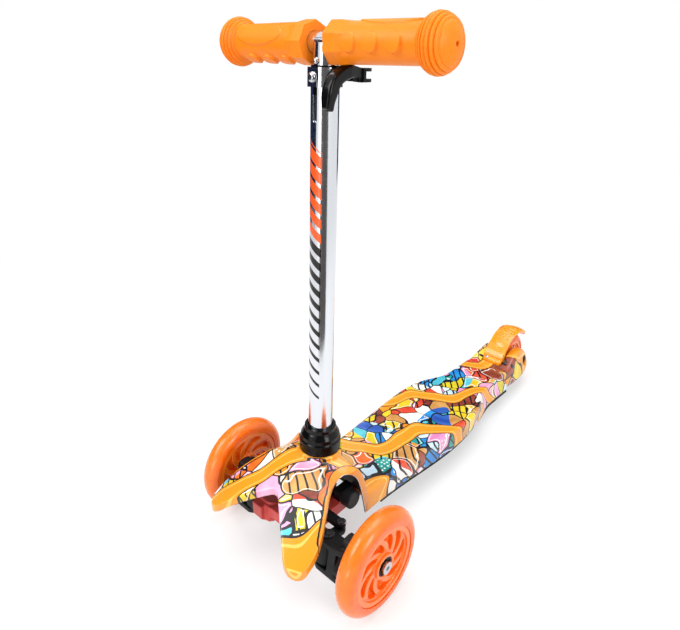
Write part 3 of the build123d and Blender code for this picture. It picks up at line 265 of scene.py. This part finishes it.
def printedAluminium(name):
    material, tree, shader, coords = metalMaterial(name, drawnTube)
    low, high, lean = stemPrint["low"], stemPrint["high"], math.radians(stemPrint["lean"])
    foot = Matrix.Rotation(lean, 3, "X") @ Vector(stemPrint["foot"])
    along = addNode(tree, "ShaderNodeMapping", {}, {
        "Vector": coords, "Rotation": (lean, 0.0, 0.0), "Location": -foot})
    axes = addNode(tree, "ShaderNodeSeparateXYZ", {}, {0: along.outputs["Vector"]})
    skewed = addNode(tree, "ShaderNodeMath", {"operation": "MULTIPLY_ADD"}, {
        0: axes.outputs[0], 1: stemPrint["slant"], 2: axes.outputs[2]}).outputs[0]
    steps = addNode(tree, "ShaderNodeMath", {"operation": "DIVIDE"}, {0: skewed, 1: stemPrint["pitch"]})
    phase = addNode(tree, "ShaderNodeMath", {"operation": "FRACT"}, {0: steps.outputs[0]})
    share = addNode(tree, "ShaderNodeMapRange", {}, {
        "Value": skewed, "From Min": low, "From Max": high,
        "To Min": stemPrint["share"][0], "To Max": stemPrint["share"][1]})
    inked = addNode(tree, "ShaderNodeMath", {"operation": "LESS_THAN"}, {
        0: phase.outputs[0], 1: share.outputs["Result"]})
    inLength = addNode(tree, "ShaderNodeMath", {"operation": "COMPARE"}, {
        0: skewed, 1: (low + high) / 2, 2: (high - low) / 2})
    inWidth = addNode(tree, "ShaderNodeMath", {"operation": "COMPARE"}, {
        0: axes.outputs[0], 1: 0.0, 2: stemPrint["halfWidth"]})
    inFront = addNode(tree, "ShaderNodeMath", {"operation": "LESS_THAN"}, {0: axes.outputs[1], 1: 0.0})
    for limit in (inLength, inWidth, inFront):
        inked = addNode(tree, "ShaderNodeMath", {"operation": "MULTIPLY"}, {
            0: inked.outputs[0], 1: limit.outputs[0]})
    upper = addNode(tree, "ShaderNodeMath", {"operation": "GREATER_THAN"}, {
        0: skewed, 1: stemPrint["change"]})
    ink = addNode(tree, "ShaderNodeMix", {"data_type": "RGBA"}, {
        0: upper.outputs[0], 6: linear(stemPrint["black"]), 7: linear(stemPrint["orange"])})
    paint = addNode(tree, "ShaderNodeMix", {"data_type": "RGBA"}, {
        0: inked.outputs[0], 6: linear(drawnTube["colour"]), 7: ink.outputs[2]})
    bare = addNode(tree, "ShaderNodeMath", {"operation": "SUBTRACT"}, {0: 1.0, 1: inked.outputs[0]})
    tree.links.new(paint.outputs[2], shader.inputs["Base Color"])
    tree.links.new(bare.outputs[0], shader.inputs["Metallic"])
    return material


printedTube = printedAluminium("polishedAluminiumPrinted")
print("plain materials made")


# printed film moulded into the shells: loose patches with ink outlines, ribbons, strokes and dots
# of no set picture, glossy, with airbrushed shading inside the patches
filmPrint = {
    "patch": 0.027, "outline": 0.0009, "warp": 0.013, "warpSize": 0.045,
    "region": 0.09, "warmFrom": 0.48,  # regions in which the warm or the cool colours are used
    "airbrush": 0.022, "shade": (0.25, 0.75), "shadeMix": 0.8, "haze": 0.02, "gloss": (0.2, 0.38),
    "stroke": 0.0042, "strokeSway": 3.0, "strokeFrom": 0.86, "strokedFrom": 0.74,
    "dot": 0.0055, "dotSize": 0.26, "dotLoose": 0.25, "dottedTo": 0.1,
    "line": (0.0022, 0.0032), "linedFrom": 0.55,
    "ribbon": 0.085, "ribbonTurn": 0.6, "ribbonSway": 3.0, "ribbonLevels": (0.74, 0.79), "shine": (0.9, 0.02),
    "rim": 0.0092, "rimInk": 0.0102, "rimEdge": 0.0006,
    "cool": ("#1FA39C", "#2488D6", "#F3F2EE", "#2F5FB8", "#55C3D4", "#E79CCB", "#DDC91C", "#C9E2F0"),
    "warm": ("#EE981A", "#F4EFE3", "#DE4A2C", "#D39A52", "#EBC71E", "#F2731C", "#EBA6C8", "#93402A"),
    "ink": "#151217", "paper": "#F6F4EE", "amber": "#F09A18", "amberLight": "#F9C65E", "rimColour": "#EE9318",
}
diagonalWave = 0.181  # scale of a diagonal wave texture whose bands are 1 m wide
straightWave = math.pi / 10  # scale of a straight one that repeats every metre


def printedFilm(name, shift, rimmed):
    material, tree, shader, coords = startMaterial(name, {
        "IOR": 1.5, "Coat Weight": 0.5, "Coat Roughness": 0.06})
    place = addNode(tree, "ShaderNodeMapping", {}, {"Vector": coords, "Location": shift}).outputs["Vector"]
    # warped coordinates make the cells' edges swing like brush lines; the noise swings by about a quarter
    swirl = addNode(tree, "ShaderNodeTexNoise", {}, {
        "Vector": place, "Scale": 1 / filmPrint["warpSize"], "Detail": 1.0})
    centred = addNode(tree, "ShaderNodeVectorMath", {"operation": "SUBTRACT"}, {
        0: swirl.outputs["Color"], 1: (0.5, 0.5, 0.5)})
    warped = addNode(tree, "ShaderNodeVectorMath", {"operation": "MULTIPLY_ADD"}, {
        0: centred.outputs[0], 1: (4 * filmPrint["warp"],) * 3, 2: place}).outputs[0]
    cells = addNode(tree, "ShaderNodeTexVoronoi", {}, {"Vector": warped, "Scale": 1 / filmPrint["patch"]})
    edges = addNode(tree, "ShaderNodeTexVoronoi", {"feature": "DISTANCE_TO_EDGE"}, {
        "Vector": warped, "Scale": 1 / filmPrint["patch"]}).outputs["Distance"]
    pick = addNode(tree, "ShaderNodeSeparateColor", {}, {0: cells.outputs["Color"]})
    ramps = []
    for palette in ("cool", "warm"):
        ramp = addNode(tree, "ShaderNodeValToRGB", {}, {0: pick.outputs[0]})
        ramp.color_ramp.interpolation = "CONSTANT"
        colours = filmPrint[palette]
        while len(ramp.color_ramp.elements) < len(colours):
            ramp.color_ramp.elements.new(1.0)
        for i, colour in enumerate(colours):
            ramp.color_ramp.elements[i].position = i / len(colours)
            ramp.color_ramp.elements[i].color = linear(colour)
        ramps.append(ramp.outputs[0])
    region = addNode(tree, "ShaderNodeTexNoise", {}, {
        "Vector": place, "Scale": 1 / filmPrint["region"], "Detail": 0.0})
    warmHere = addNode(tree, "ShaderNodeMath", {"operation": "GREATER_THAN"}, {
        0: region.outputs["Fac"], 1: filmPrint["warmFrom"]})
    colour = addNode(tree, "ShaderNodeMix", {"data_type": "RGBA"}, {
        0: warmHere.outputs[0], 6: ramps[0], 7: ramps[1]}).outputs[2]
    cloud = addNode(tree, "ShaderNodeTexNoise", {}, {
        "Vector": warped, "Scale": 1 / filmPrint["airbrush"], "Detail": 1.0})
    shade = addNode(tree, "ShaderNodeMapRange", {}, {
        "Value": cloud.outputs["Fac"], "From Min": noiseSpan[0], "From Max": noiseSpan[1],
        "To Min": filmPrint["shade"][0], "To Max": filmPrint["shade"][1]})
    colour = addNode(tree, "ShaderNodeMix", {"data_type": "RGBA", "blend_type": "SOFT_LIGHT"}, {
        0: filmPrint["shadeMix"], 6: colour, 7: shade.outputs["Result"]}).outputs[2]

    # strokes, dots and inner lines, each in some of the patches only
    waves = addNode(tree, "ShaderNodeTexWave", {"bands_direction": "DIAGONAL"}, {
        "Vector": place, "Scale": diagonalWave / filmPrint["stroke"], "Distortion": filmPrint["strokeSway"],
        "Detail": 1.0, "Detail Scale": 0.6})
    strokeOn = addNode(tree, "ShaderNodeMath", {"operation": "GREATER_THAN"}, {
        0: waves.outputs["Fac"], 1: filmPrint["strokeFrom"]})
    stroked = addNode(tree, "ShaderNodeMath", {"operation": "GREATER_THAN"}, {
        0: pick.outputs[1], 1: filmPrint["strokedFrom"]})
    spots = addNode(tree, "ShaderNodeTexVoronoi", {}, {
        "Vector": place, "Scale": 1 / filmPrint["dot"], "Randomness": filmPrint["dotLoose"]})
    spotOn = addNode(tree, "ShaderNodeMath", {"operation": "LESS_THAN"}, {
        0: spots.outputs["Distance"], 1: filmPrint["dotSize"]})
    dotted = addNode(tree, "ShaderNodeMath", {"operation": "LESS_THAN"}, {
        0: pick.outputs[1], 1: filmPrint["dottedTo"]})
    lineNear, lineFar = (edge / filmPrint["patch"] for edge in filmPrint["line"])
    lineOn = addNode(tree, "ShaderNodeMath", {"operation": "COMPARE"}, {
        0: edges, 1: (lineNear + lineFar) / 2, 2: (lineFar - lineNear) / 2})
    lined = addNode(tree, "ShaderNodeMath", {"operation": "GREATER_THAN"}, {
        0: pick.outputs[2], 1: filmPrint["linedFrom"]})
    layers = []
    marks = ((strokeOn, stroked, "ink"), (spotOn, dotted, "paper"), (lineOn, lined, "paper"))
    for mark, patches, ink in marks:
        layers.append((addNode(tree, "ShaderNodeMath", {"operation": "MULTIPLY"}, {
            0: mark.outputs[0], 1: patches.outputs[0]}), ink))

    # the patches' outlines, and amber ribbons over them
    layers.append((addNode(tree, "ShaderNodeMath", {"operation": "LESS_THAN"}, {
        0: edges, 1: filmPrint["outline"] / filmPrint["patch"]}), "ink"))
    slanted = addNode(tree, "ShaderNodeMapping", {}, {
        "Vector": place, "Rotation": (0.0, 0.0, filmPrint["ribbonTurn"])}).outputs["Vector"]
    band = addNode(tree, "ShaderNodeTexWave", {"bands_direction": "X"}, {
        "Vector": slanted, "Scale": straightWave / filmPrint["ribbon"], "Distortion": filmPrint["ribbonSway"],
        "Detail": 0.5, "Detail Scale": 4.0}).outputs["Fac"]
    for level, ink in zip(filmPrint["ribbonLevels"], ("ink", "amber")):
        layers.append((addNode(tree, "ShaderNodeMath", {"operation": "GREATER_THAN"}, {
            0: band, 1: level}), ink))
    layers.append((addNode(tree, "ShaderNodeMath", {"operation": "COMPARE"}, {
        0: band, 1: filmPrint["shine"][0], 2: filmPrint["shine"][1]}), "amberLight"))
    if rimmed:  # a plain band along the wheel arches
        reach = addNode(tree, "ShaderNodeAttribute", {"attribute_name": "rimDistance"}, {}).outputs["Fac"]
        for limit, ink in (("rimInk", "ink"), ("rim", "rimColour"), ("rimEdge", "paper")):
            layers.append((addNode(tree, "ShaderNodeMath", {"operation": "LESS_THAN"}, {
                0: reach, 1: filmPrint[limit]}), ink))
    for mask, ink in layers:
        colour = addNode(tree, "ShaderNodeMix", {"data_type": "RGBA"}, {
            0: mask.outputs[0], 6: colour, 7: linear(filmPrint[ink])}).outputs[2]
    tree.links.new(colour, shader.inputs["Base Color"])
    haze = addNode(tree, "ShaderNodeTexNoise", {}, {
        "Vector": place, "Scale": 1 / filmPrint["haze"], "Detail": 3.0})
    gloss = addNode(tree, "ShaderNodeMapRange", {}, {
        "Value": haze.outputs["Fac"], "To Min": filmPrint["gloss"][0], "To Max": filmPrint["gloss"][1]})
    tree.links.new(gloss.outputs["Result"], shader.inputs["Roughness"])
    return material


housingFilm = printedFilm("printedFilmHousing", (0.62, 0.91, 0.17), True)
deckFilm = printedFilm("printedFilmDeck", (0.57, 0.23, 0.34), False)

# bare ABS inside the shells, where the film ends: dark grey, dull from the mould
bareAbs = mouldedMaterial("bareAbs", {"IOR": 1.54}, {
    "low": "#33353C", "high": "#454851", "drift": 0.03, "grain": 0.001, "gloss": (0.4, 0.55), "bump": 0.12})
print("printed film made")


# which finish goes on which CAD node; the rest are steel
finishes = (
    (gripRubber, "left_grip right_grip"),
    (tyres["left"], "left_wheel_tyre"),
    (tyres["right"], "right_wheel_tyre"),
    (tyres["rear"], "rear_wheel_tyre"),
    (hubResin, "left_wheel_hub right_wheel_hub rear_wheel_hub"),
    (fenderResin, "brake_fender"),
    (housingFilm, "front_housing"),
    (deckFilm, "deck_shell rear_fork"),
    (glossBlack, "base_ring clamp_lever tube_bush cam_washer"),
    (satinBlack, "left_knuckle right_knuckle tie_rod deck_base slide_bush"),
    (bufferRubber, "rubber_buffers"),
    (redNylon, "steering_cradle"),
    (printedTube, "lower_tube"),
    (aluminium, "upper_tube cross_tube clamp_collar"),
    # the fender's pin is dark as painted shade: it stands for the shadow in the gaps beside the fender's foot
    (darkSteelAndGapShade, "left_wheel_bearings right_wheel_bearings rear_wheel_bearings fender_pin"),
)
finishOf = {node: finish for finish, names in finishes for node in names.split()}
for node, piece in nodes.items():
    piece.data.materials.clear()
    piece.data.materials.append(finishOf.get(node, steel))
print("finishes on", len(nodes), "nodes")


# adds a modifier to the active piece and applies it
def applyModifier(piece, kind, settings):
    bpy.ops.object.modifier_add(type=kind)
    modifier = piece.modifiers[-1]
    for name, value in settings.items():
        setattr(modifier, name, value)
    bpy.ops.object.modifier_apply(modifier=modifier.name)


def relax(piece, rounds, group=""):
    applyModifier(piece, "SMOOTH", {"iterations": rounds, "vertex_group": group})


# opens the active piece in edit mode with only the chosen vertices or edges selected
def editChosen(piece, kind, chosen):
    bpy.ops.object.mode_set(mode="EDIT")
    bpy.ops.mesh.select_all(action="DESELECT")
    bpy.ops.object.mode_set(mode="OBJECT")
    for element in getattr(piece.data, kind):
        element.select = chosen(element)
    bpy.ops.object.mode_set(mode="EDIT")


# makes one piece the active one, alone in the selection
def activate(piece):
    bpy.ops.object.select_all(action="DESELECT")
    bpy.context.view_layer.objects.active = piece
    piece.select_set(True)


weld = 1e-5  # points of a CAD mesh nearer than this are one point


# a moulded piece from its CAD solid: sharp edges are remeshed and relaxed into moulding radii
def mouldedCopy(name, node, soft, added=None):
    piece = bpy.data.objects.new(name, nodes[node].data.copy())
    bpy.context.scene.collection.objects.link(piece)
    activate(piece)
    if added:
        added.select_set(True)
        bpy.ops.object.join()
    bpy.ops.object.mode_set(mode="EDIT")
    bpy.ops.mesh.select_all(action="SELECT")
    bpy.ops.mesh.remove_doubles(threshold=weld)
    bpy.ops.object.mode_set(mode="OBJECT")
    applyModifier(piece, "REMESH", {"mode": "VOXEL", "voxel_size": soft["voxel"]})
    relax(piece, soft["relax"])
    bpy.ops.object.shade_smooth()
    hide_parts(node)
    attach(piece, bodyOf[node])
    print("moulded", node, len(piece.data.polygons), "faces")
    return piece


softened = {
    "base_ring": {"voxel": 0.0005, "relax": 4},
    "left_knuckle": {"voxel": 0.0008, "relax": 9},
    "right_knuckle": {"voxel": 0.0008, "relax": 9},
    "left_wheel_hub": {"voxel": 0.0006, "relax": 3},
    "right_wheel_hub": {"voxel": 0.0006, "relax": 3},
    "rear_wheel_hub": {"voxel": 0.0005, "relax": 3},
}
for node, soft in softened.items():
    mouldedCopy(f"moulded_{node}", node, soft)


# grips: the round ribs of the end knobs and the three thumb discs stand out more than the remesh leaves them
grip = {
    "voxel": 0.00062, "relax": 1, "skin": 0.0165, "lean": 3.4, "turns": {"left": 0.0, "right": 65.0},
    "start": 0.119, "end": 0.1425, "pitch": 0.0035, "ridge": 0.3, "depth": 0.0008, "sink": 1.4,
    "discs": (0.046, 0.0715, 0.097), "discRadius": 0.0092, "discRise": 0.0013, "discEdge": 0.0009,
}
barAxis = middleAndHalf("left_grip")[0]
for side, turned in grip["turns"].items():
    piece = mouldedCopy(f"{side}Grip", f"{side}_grip", grip)
    for v in piece.data.vertices:
        out = Vector((0.0, v.co.y - barAxis.y, v.co.z - barAxis.z))
        if out.length < grip["skin"]:
            continue
        along, rise = abs(v.co.x), 0.0
        if grip["start"] < along < grip["end"]:
            phase = (along - grip["start"]) / grip["pitch"] - grip["ridge"]
            rise = grip["depth"] * (2 * abs(math.cos(math.pi * phase)) - grip["sink"])
        around = math.atan2(out.z, -out.y) - math.radians(grip["lean"] - turned)
        for disc in grip["discs"]:
            inside = grip["discRadius"] - math.hypot(along - disc, around * out.length)
            rise += grip["discRise"] * fraction(inside, 0.0, grip["discEdge"])
        v.co += out.normalized() * rise
print("grips ribbed")


# the film covers the outside of the shells only: a face with its own shell above it stays bare
shells = {
    "front_housing": {"voxel": 0.0009, "relax": 8},
    "deck_shell": {"voxel": 0.0014, "relax": 4},
    "rear_fork": {"voxel": 0.0009, "relax": 3},
}
upwards = Vector((0.0, 0.0, 1.0))
for node, soft in shells.items():
    shell = mouldedCopy(f"moulded_{node}", node, soft)
    shell.data.materials.append(bareAbs)
    faces = shell.data.polygons
    surface = BVHTree.FromPolygons(
        [v.co for v in shell.data.vertices], [tuple(face.vertices) for face in faces])
    for face in faces:
        above = surface.ray_cast(face.center + face.normal * soft["voxel"], upwards)[0]
        face.material_index = 0 if above is None else 1
    if node == "front_housing":
        housing = shell

# how far each point of the housing is from the edge of a wheel arch, for the printed band there
arch = {"front": -0.272, "back": -0.172, "inner": 0.030, "none": 1.0}
sides = [set() for _ in housing.data.vertices]
for face in housing.data.polygons:
    for corner in face.vertices:
        sides[corner].add(face.material_index)
archEdge = [
    v.co for v, found in zip(housing.data.vertices, sides)
    if len(found) == 2 and arch["front"] < v.co.y < arch["back"] and abs(v.co.x) > arch["inner"]
]
nearest = KDTree(len(archEdge))
for i, co in enumerate(archEdge):
    nearest.insert(co, i)
nearest.balance()
rimDistance = housing.data.attributes.new("rimDistance", "FLOAT", "POINT")
for v in housing.data.vertices:
    rimDistance.data[v.index].value = nearest.find(v.co)[2] if archEdge else arch["none"]
print("film trimmed,", len(archEdge), "points on the arches")


# the cradle is red in front, with its tower, buffer posts and lug ends in black
cradle = {"voxel": 0.001, "relax": 4, "lugs": 0.046, "towerLow": 0.067, "towerFront": -0.226}
piece = mouldedCopy("moulded_steering_cradle", "steering_cradle", cradle)
piece.data.materials.append(satinBlack)
for face in piece.data.polygons:
    lug = abs(face.center.x) > cradle["lugs"]
    tower = face.center.z > cradle["towerLow"] and face.center.y > cradle["towerFront"]
    face.material_index = 1 if lug or tower else 0


# quick-release lever: its arm is narrowed and relaxed into a rounded finger, its forked head keeps its edges
lever = {
    "voxel": 0.0004, "relax": 2,
    "head": 0.011, "arm": 0.023,  # how far from the pin the head ends and the arm starts
    "tip": 0.002, "narrow": 0.7, "taper": 0.015, "armRelax": 80, "swell": 0.0014,
}
piece = mouldedCopy("quickReleaseLever", "clamp_lever", lever)
pin = middleAndHalf("barrel_pin")[0]
arm = piece.vertex_groups.new(name="arm")
for v in piece.data.vertices:
    arm.add([v.index], fraction((v.co - pin).length, lever["head"], lever["arm"]), "REPLACE")
tipTop = min(v.co.z for v in piece.data.vertices) + lever["tip"]
editChosen(piece, "vertices", lambda v: v.co.z < tipTop)
bpy.ops.transform.resize(
    value=(lever["narrow"], lever["narrow"], 1.0), use_proportional_edit=True,
    proportional_edit_falloff="SMOOTH", proportional_size=lever["taper"])
bpy.ops.object.mode_set(mode="OBJECT")
relax(piece, lever["armRelax"], "arm")
applyModifier(piece, "DISPLACE", {"strength": lever["swell"], "mid_level": 0.0, "vertex_group": "arm"})
print("lever rounded")


# brake fender: flared into a rounded foot over its hinge, crowned across the wheel, its tail thickened
foot = {
    "place": (0.0, 0.2215, 0.050), "radius": 0.0074, "length": 0.032, "sides": 64,
    "round": 0.0022, "steps": 5,
}
bpy.ops.object.select_all(action="DESELECT")
bpy.ops.mesh.primitive_cylinder_add(
    vertices=foot["sides"], radius=foot["radius"], depth=foot["length"], location=foot["place"],
    rotation=(0.0, math.pi / 2, 0.0))
roll = bpy.context.object
bpy.ops.object.transform_apply(location=True, rotation=True, scale=True)
# the edges of the two ends are those with both points on one side
editChosen(roll, "edges", lambda line: len({roll.data.vertices[i].co.x > 0 for i in line.vertices}) == 1)
bpy.ops.mesh.bevel(offset=foot["round"], segments=foot["steps"])
bpy.ops.object.mode_set(mode="OBJECT")
fender = {
    "voxel": 0.0005, "relax": 9, "outer": 0.047, "crown": 0.003, "half": 0.017, "lip": 0.0008,
    "flareStart": 128.0, "flareEnd": 166.0, "sheet": 0.0495, "flare": 0.0575, "blend": 12,
    "tailStart": 70.0, "tailEnd": 36.0, "tailLip": 0.0016, "tailRelax": 50,
}
piece = mouldedCopy("brakeFender", "brake_fender", fender, roll)
axle = middleAndHalf("rear_wheel_tyre")[0]
tailEnd = piece.vertex_groups.new(name="tailEnd")
for v in piece.data.vertices:
    out = Vector((0.0, v.co.y - axle.y, v.co.z - axle.z))
    angle = math.degrees(math.atan2(out.z, out.y))
    tail = fraction(angle, fender["tailStart"], fender["tailEnd"])
    tailEnd.add([v.index], tail, "REPLACE")
    if out.length > fender["outer"] and angle > 0:
        flare = fraction(angle, fender["flareStart"], fender["flareEnd"])
        flare = flare * flare * (3 - 2 * flare)  # eased at both ends
        crown = fender["crown"] * max(0.0, 1 - (v.co.x / fender["half"]) ** 2)
        crown += fender["lip"] + tail * fender["tailLip"]
        reach = fender["sheet"] + flare * (fender["flare"] - fender["sheet"])
        v.co += out.normalized() * (max(out.length + (1 - flare) * crown, reach) - out.length)
relax(piece, fender["blend"])
relax(piece, fender["tailRelax"], "tailEnd")
print("fender crowned")


# pan-head screw with a cross recess, in the foot
screw = {
    "x": -0.0095, "lean": 33.0, "radius": 0.0027, "height": 0.0026, "sides": 40, "round": 0.0012, "steps": 5,
    "cross": (1.3, 0.3), "deep": 0.0008, "smooth": 35.0,  # the cross is in shares of the radius
}
bpy.ops.object.select_all(action="DESELECT")
bpy.ops.mesh.primitive_cylinder_add(vertices=screw["sides"], radius=screw["radius"], depth=screw["height"])
piece = bpy.context.object
piece.name = "fenderScrew"
editChosen(piece, "edges", lambda line: all(piece.data.vertices[i].co.z > 0 for i in line.vertices))
bpy.ops.mesh.bevel(offset=screw["round"], segments=screw["steps"])
bpy.ops.object.mode_set(mode="OBJECT")
for across, along in (screw["cross"], screw["cross"][::-1]):
    bpy.ops.object.select_all(action="DESELECT")
    bpy.ops.mesh.primitive_cube_add(size=1.0, location=(0.0, 0.0, screw["height"] / 2))
    cutter = bpy.context.object
    cutter.scale = (across * screw["radius"], along * screw["radius"], 2 * screw["deep"])
    bpy.ops.object.transform_apply(location=True, rotation=True, scale=True)
    activate(piece)
    applyModifier(piece, "BOOLEAN", {"operation": "DIFFERENCE", "object": cutter})
    bpy.data.objects.remove(cutter)
tilt = math.radians(screw["lean"])
piece.rotation_euler = (tilt, 0.0, 0.0)
piece.location = Vector(foot["place"]) + Vector((
    screw["x"], -math.sin(tilt) * foot["radius"], math.cos(tilt) * foot["radius"]))
bpy.ops.object.transform_apply(location=True, rotation=True, scale=True)
bpy.ops.object.shade_smooth_by_angle(angle=math.radians(screw["smooth"]))
piece.data.materials.append(steel)
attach(piece, "brake")
print("fender screw made")


# floor, world, reflection cards and lamps
studio = {
    "floor": 6.0, "floorSides": 96, "floorColour": "#C4C4C4", "floorRoughness": 0.9,
    "shadowShare": 0.5, "white": 0.5, "fade": (0.55, 1.3), "sky": 0.56,
    "lamps": (
        {"name": "keyBox", "place": (-0.7, -1.5, 1.7), "size": 1.2, "watts": 27.0},
        {"name": "fillBox", "place": (1.7, -0.4, 1.0), "size": 0.9, "watts": 15.0},
        {"name": "lowBox", "place": (0.4, -1.7, 0.3), "size": 0.8, "watts": 5.0},
        {"name": "topBox", "place": (0.1, 0.3, 2.1), "size": 1.4, "watts": 19.0},
    ),
    "aim": (0.0, -0.05, 0.22),
    "cards": (
        {"name": "sideCard", "place": (-1.2, -0.1, 0.8), "turn": math.pi / 2, "size": (2.0, 1.5),
         "colour": "#22304F"},
        {"name": "backCard", "place": (-0.5, 1.3, 0.8), "turn": 0.0, "size": (1.3, 1.5),
         "colour": "#22304F"},
        {"name": "cornerCard", "place": (-0.75, -0.95, 0.6), "turn": -0.77, "size": (0.75, 0.9),
         "colour": "#1A2036"},
        {"name": "cameraCard", "place": (0.216, -0.398, 0.44), "turn": 0.803, "size": (0.33, 0.64),
         "colour": "#5C5856"},
    ),
}


# 1 for rays that show the backdrop as such: from the camera, off gloss and through clear things
def seenRays(tree):
    rays = addNode(tree, "ShaderNodeLightPath", {}, {}).outputs
    seen = addNode(tree, "ShaderNodeMath", {"operation": "MAXIMUM"}, {
        0: rays["Is Camera Ray"], 1: rays["Is Glossy Ray"]})
    return addNode(tree, "ShaderNodeMath", {"operation": "MAXIMUM"}, {
        0: seen.outputs[0], 1: rays["Is Transmission Ray"]}).outputs[0]


bpy.ops.object.select_all(action="DESELECT")
bpy.ops.mesh.primitive_circle_add(vertices=studio["floorSides"], radius=studio["floor"], fill_type="NGON")
floor = bpy.context.object
floor.name = "floor"
floorPaint, tree, shader, coords = startMaterial("paleFloorPaint", {
    "Base Color": studio["floorColour"], "Roughness": studio["floorRoughness"], "Specular IOR Level": 0.0})
# seen directly or in a reflection the floor is white, and keeps the shadows at a lower strength
catch = addNode(tree, "ShaderNodeBsdfDiffuse", {}, {"Color": (studio["shadowShare"],) * 3 + (1.0,)})
glow = addNode(tree, "ShaderNodeEmission", {}, {"Strength": studio["white"]})
near = addNode(tree, "ShaderNodeAddShader", {}, {0: catch.outputs[0], 1: glow.outputs[0]})
away = addNode(tree, "ShaderNodeVectorMath", {"operation": "LENGTH"}, {0: coords})
far = addNode(tree, "ShaderNodeMapRange", {"interpolation_type": "SMOOTHSTEP"}, {
    "Value": away.outputs["Value"], "From Min": studio["fade"][0], "From Max": studio["fade"][1]})
plainWhite = addNode(tree, "ShaderNodeEmission", {}, {})
shown = addNode(tree, "ShaderNodeMixShader", {}, {
    0: far.outputs["Result"], 1: near.outputs[0], 2: plainWhite.outputs[0]})
mixed = addNode(tree, "ShaderNodeMixShader", {}, {
    0: seenRays(tree), 1: shader.outputs[0], 2: shown.outputs[0]})
tree.links.new(mixed.outputs[0], tree.nodes["Material Output"].inputs["Surface"])
floor.data.materials.append(floorPaint)

world = bpy.data.worlds.new("studioWhite")
bpy.context.scene.world = world
world.use_nodes = True
tree = world.node_tree
strength = addNode(tree, "ShaderNodeMapRange", {}, {
    "Value": seenRays(tree), "To Min": studio["sky"], "To Max": 1.0})
sky = tree.nodes["Background"]
sky.inputs["Color"].default_value = (1.0, 1.0, 1.0, 1.0)
tree.links.new(strength.outputs["Result"], sky.inputs["Strength"])

# dark cards that only reflections see, so that polished metal shows its edges
for card in studio["cards"]:
    bpy.ops.object.select_all(action="DESELECT")
    bpy.ops.mesh.primitive_plane_add(
        size=1.0, location=card["place"], rotation=(math.pi / 2, 0.0, card["turn"]))
    flag = bpy.context.object
    flag.name = card["name"]
    flag.scale = (card["size"][0], card["size"][1], 1.0)
    bpy.ops.object.transform_apply(location=True, rotation=True, scale=True)
    cardFelt, tree = startMaterial(f"{card['name']}Felt", {})[:2]
    flat = addNode(tree, "ShaderNodeEmission", {}, {"Color": linear(card["colour"])})
    tree.links.new(flat.outputs[0], tree.nodes["Material Output"].inputs["Surface"])
    flag.data.materials.append(cardFelt)
    flag.visible_camera = flag.visible_diffuse = flag.visible_shadow = flag.visible_transmission = False

for lamp in studio["lamps"]:
    data = bpy.data.lights.new(lamp["name"], "AREA")
    data.energy = lamp["watts"]
    data.size = lamp["size"]
    light = bpy.data.objects.new(lamp["name"], data)
    bpy.context.scene.collection.objects.link(light)
    light.location = lamp["place"]
    light.rotation_euler = (Vector(studio["aim"]) - Vector(lamp["place"])).to_track_quat("-Z", "Y").to_euler()
print("studio lit")
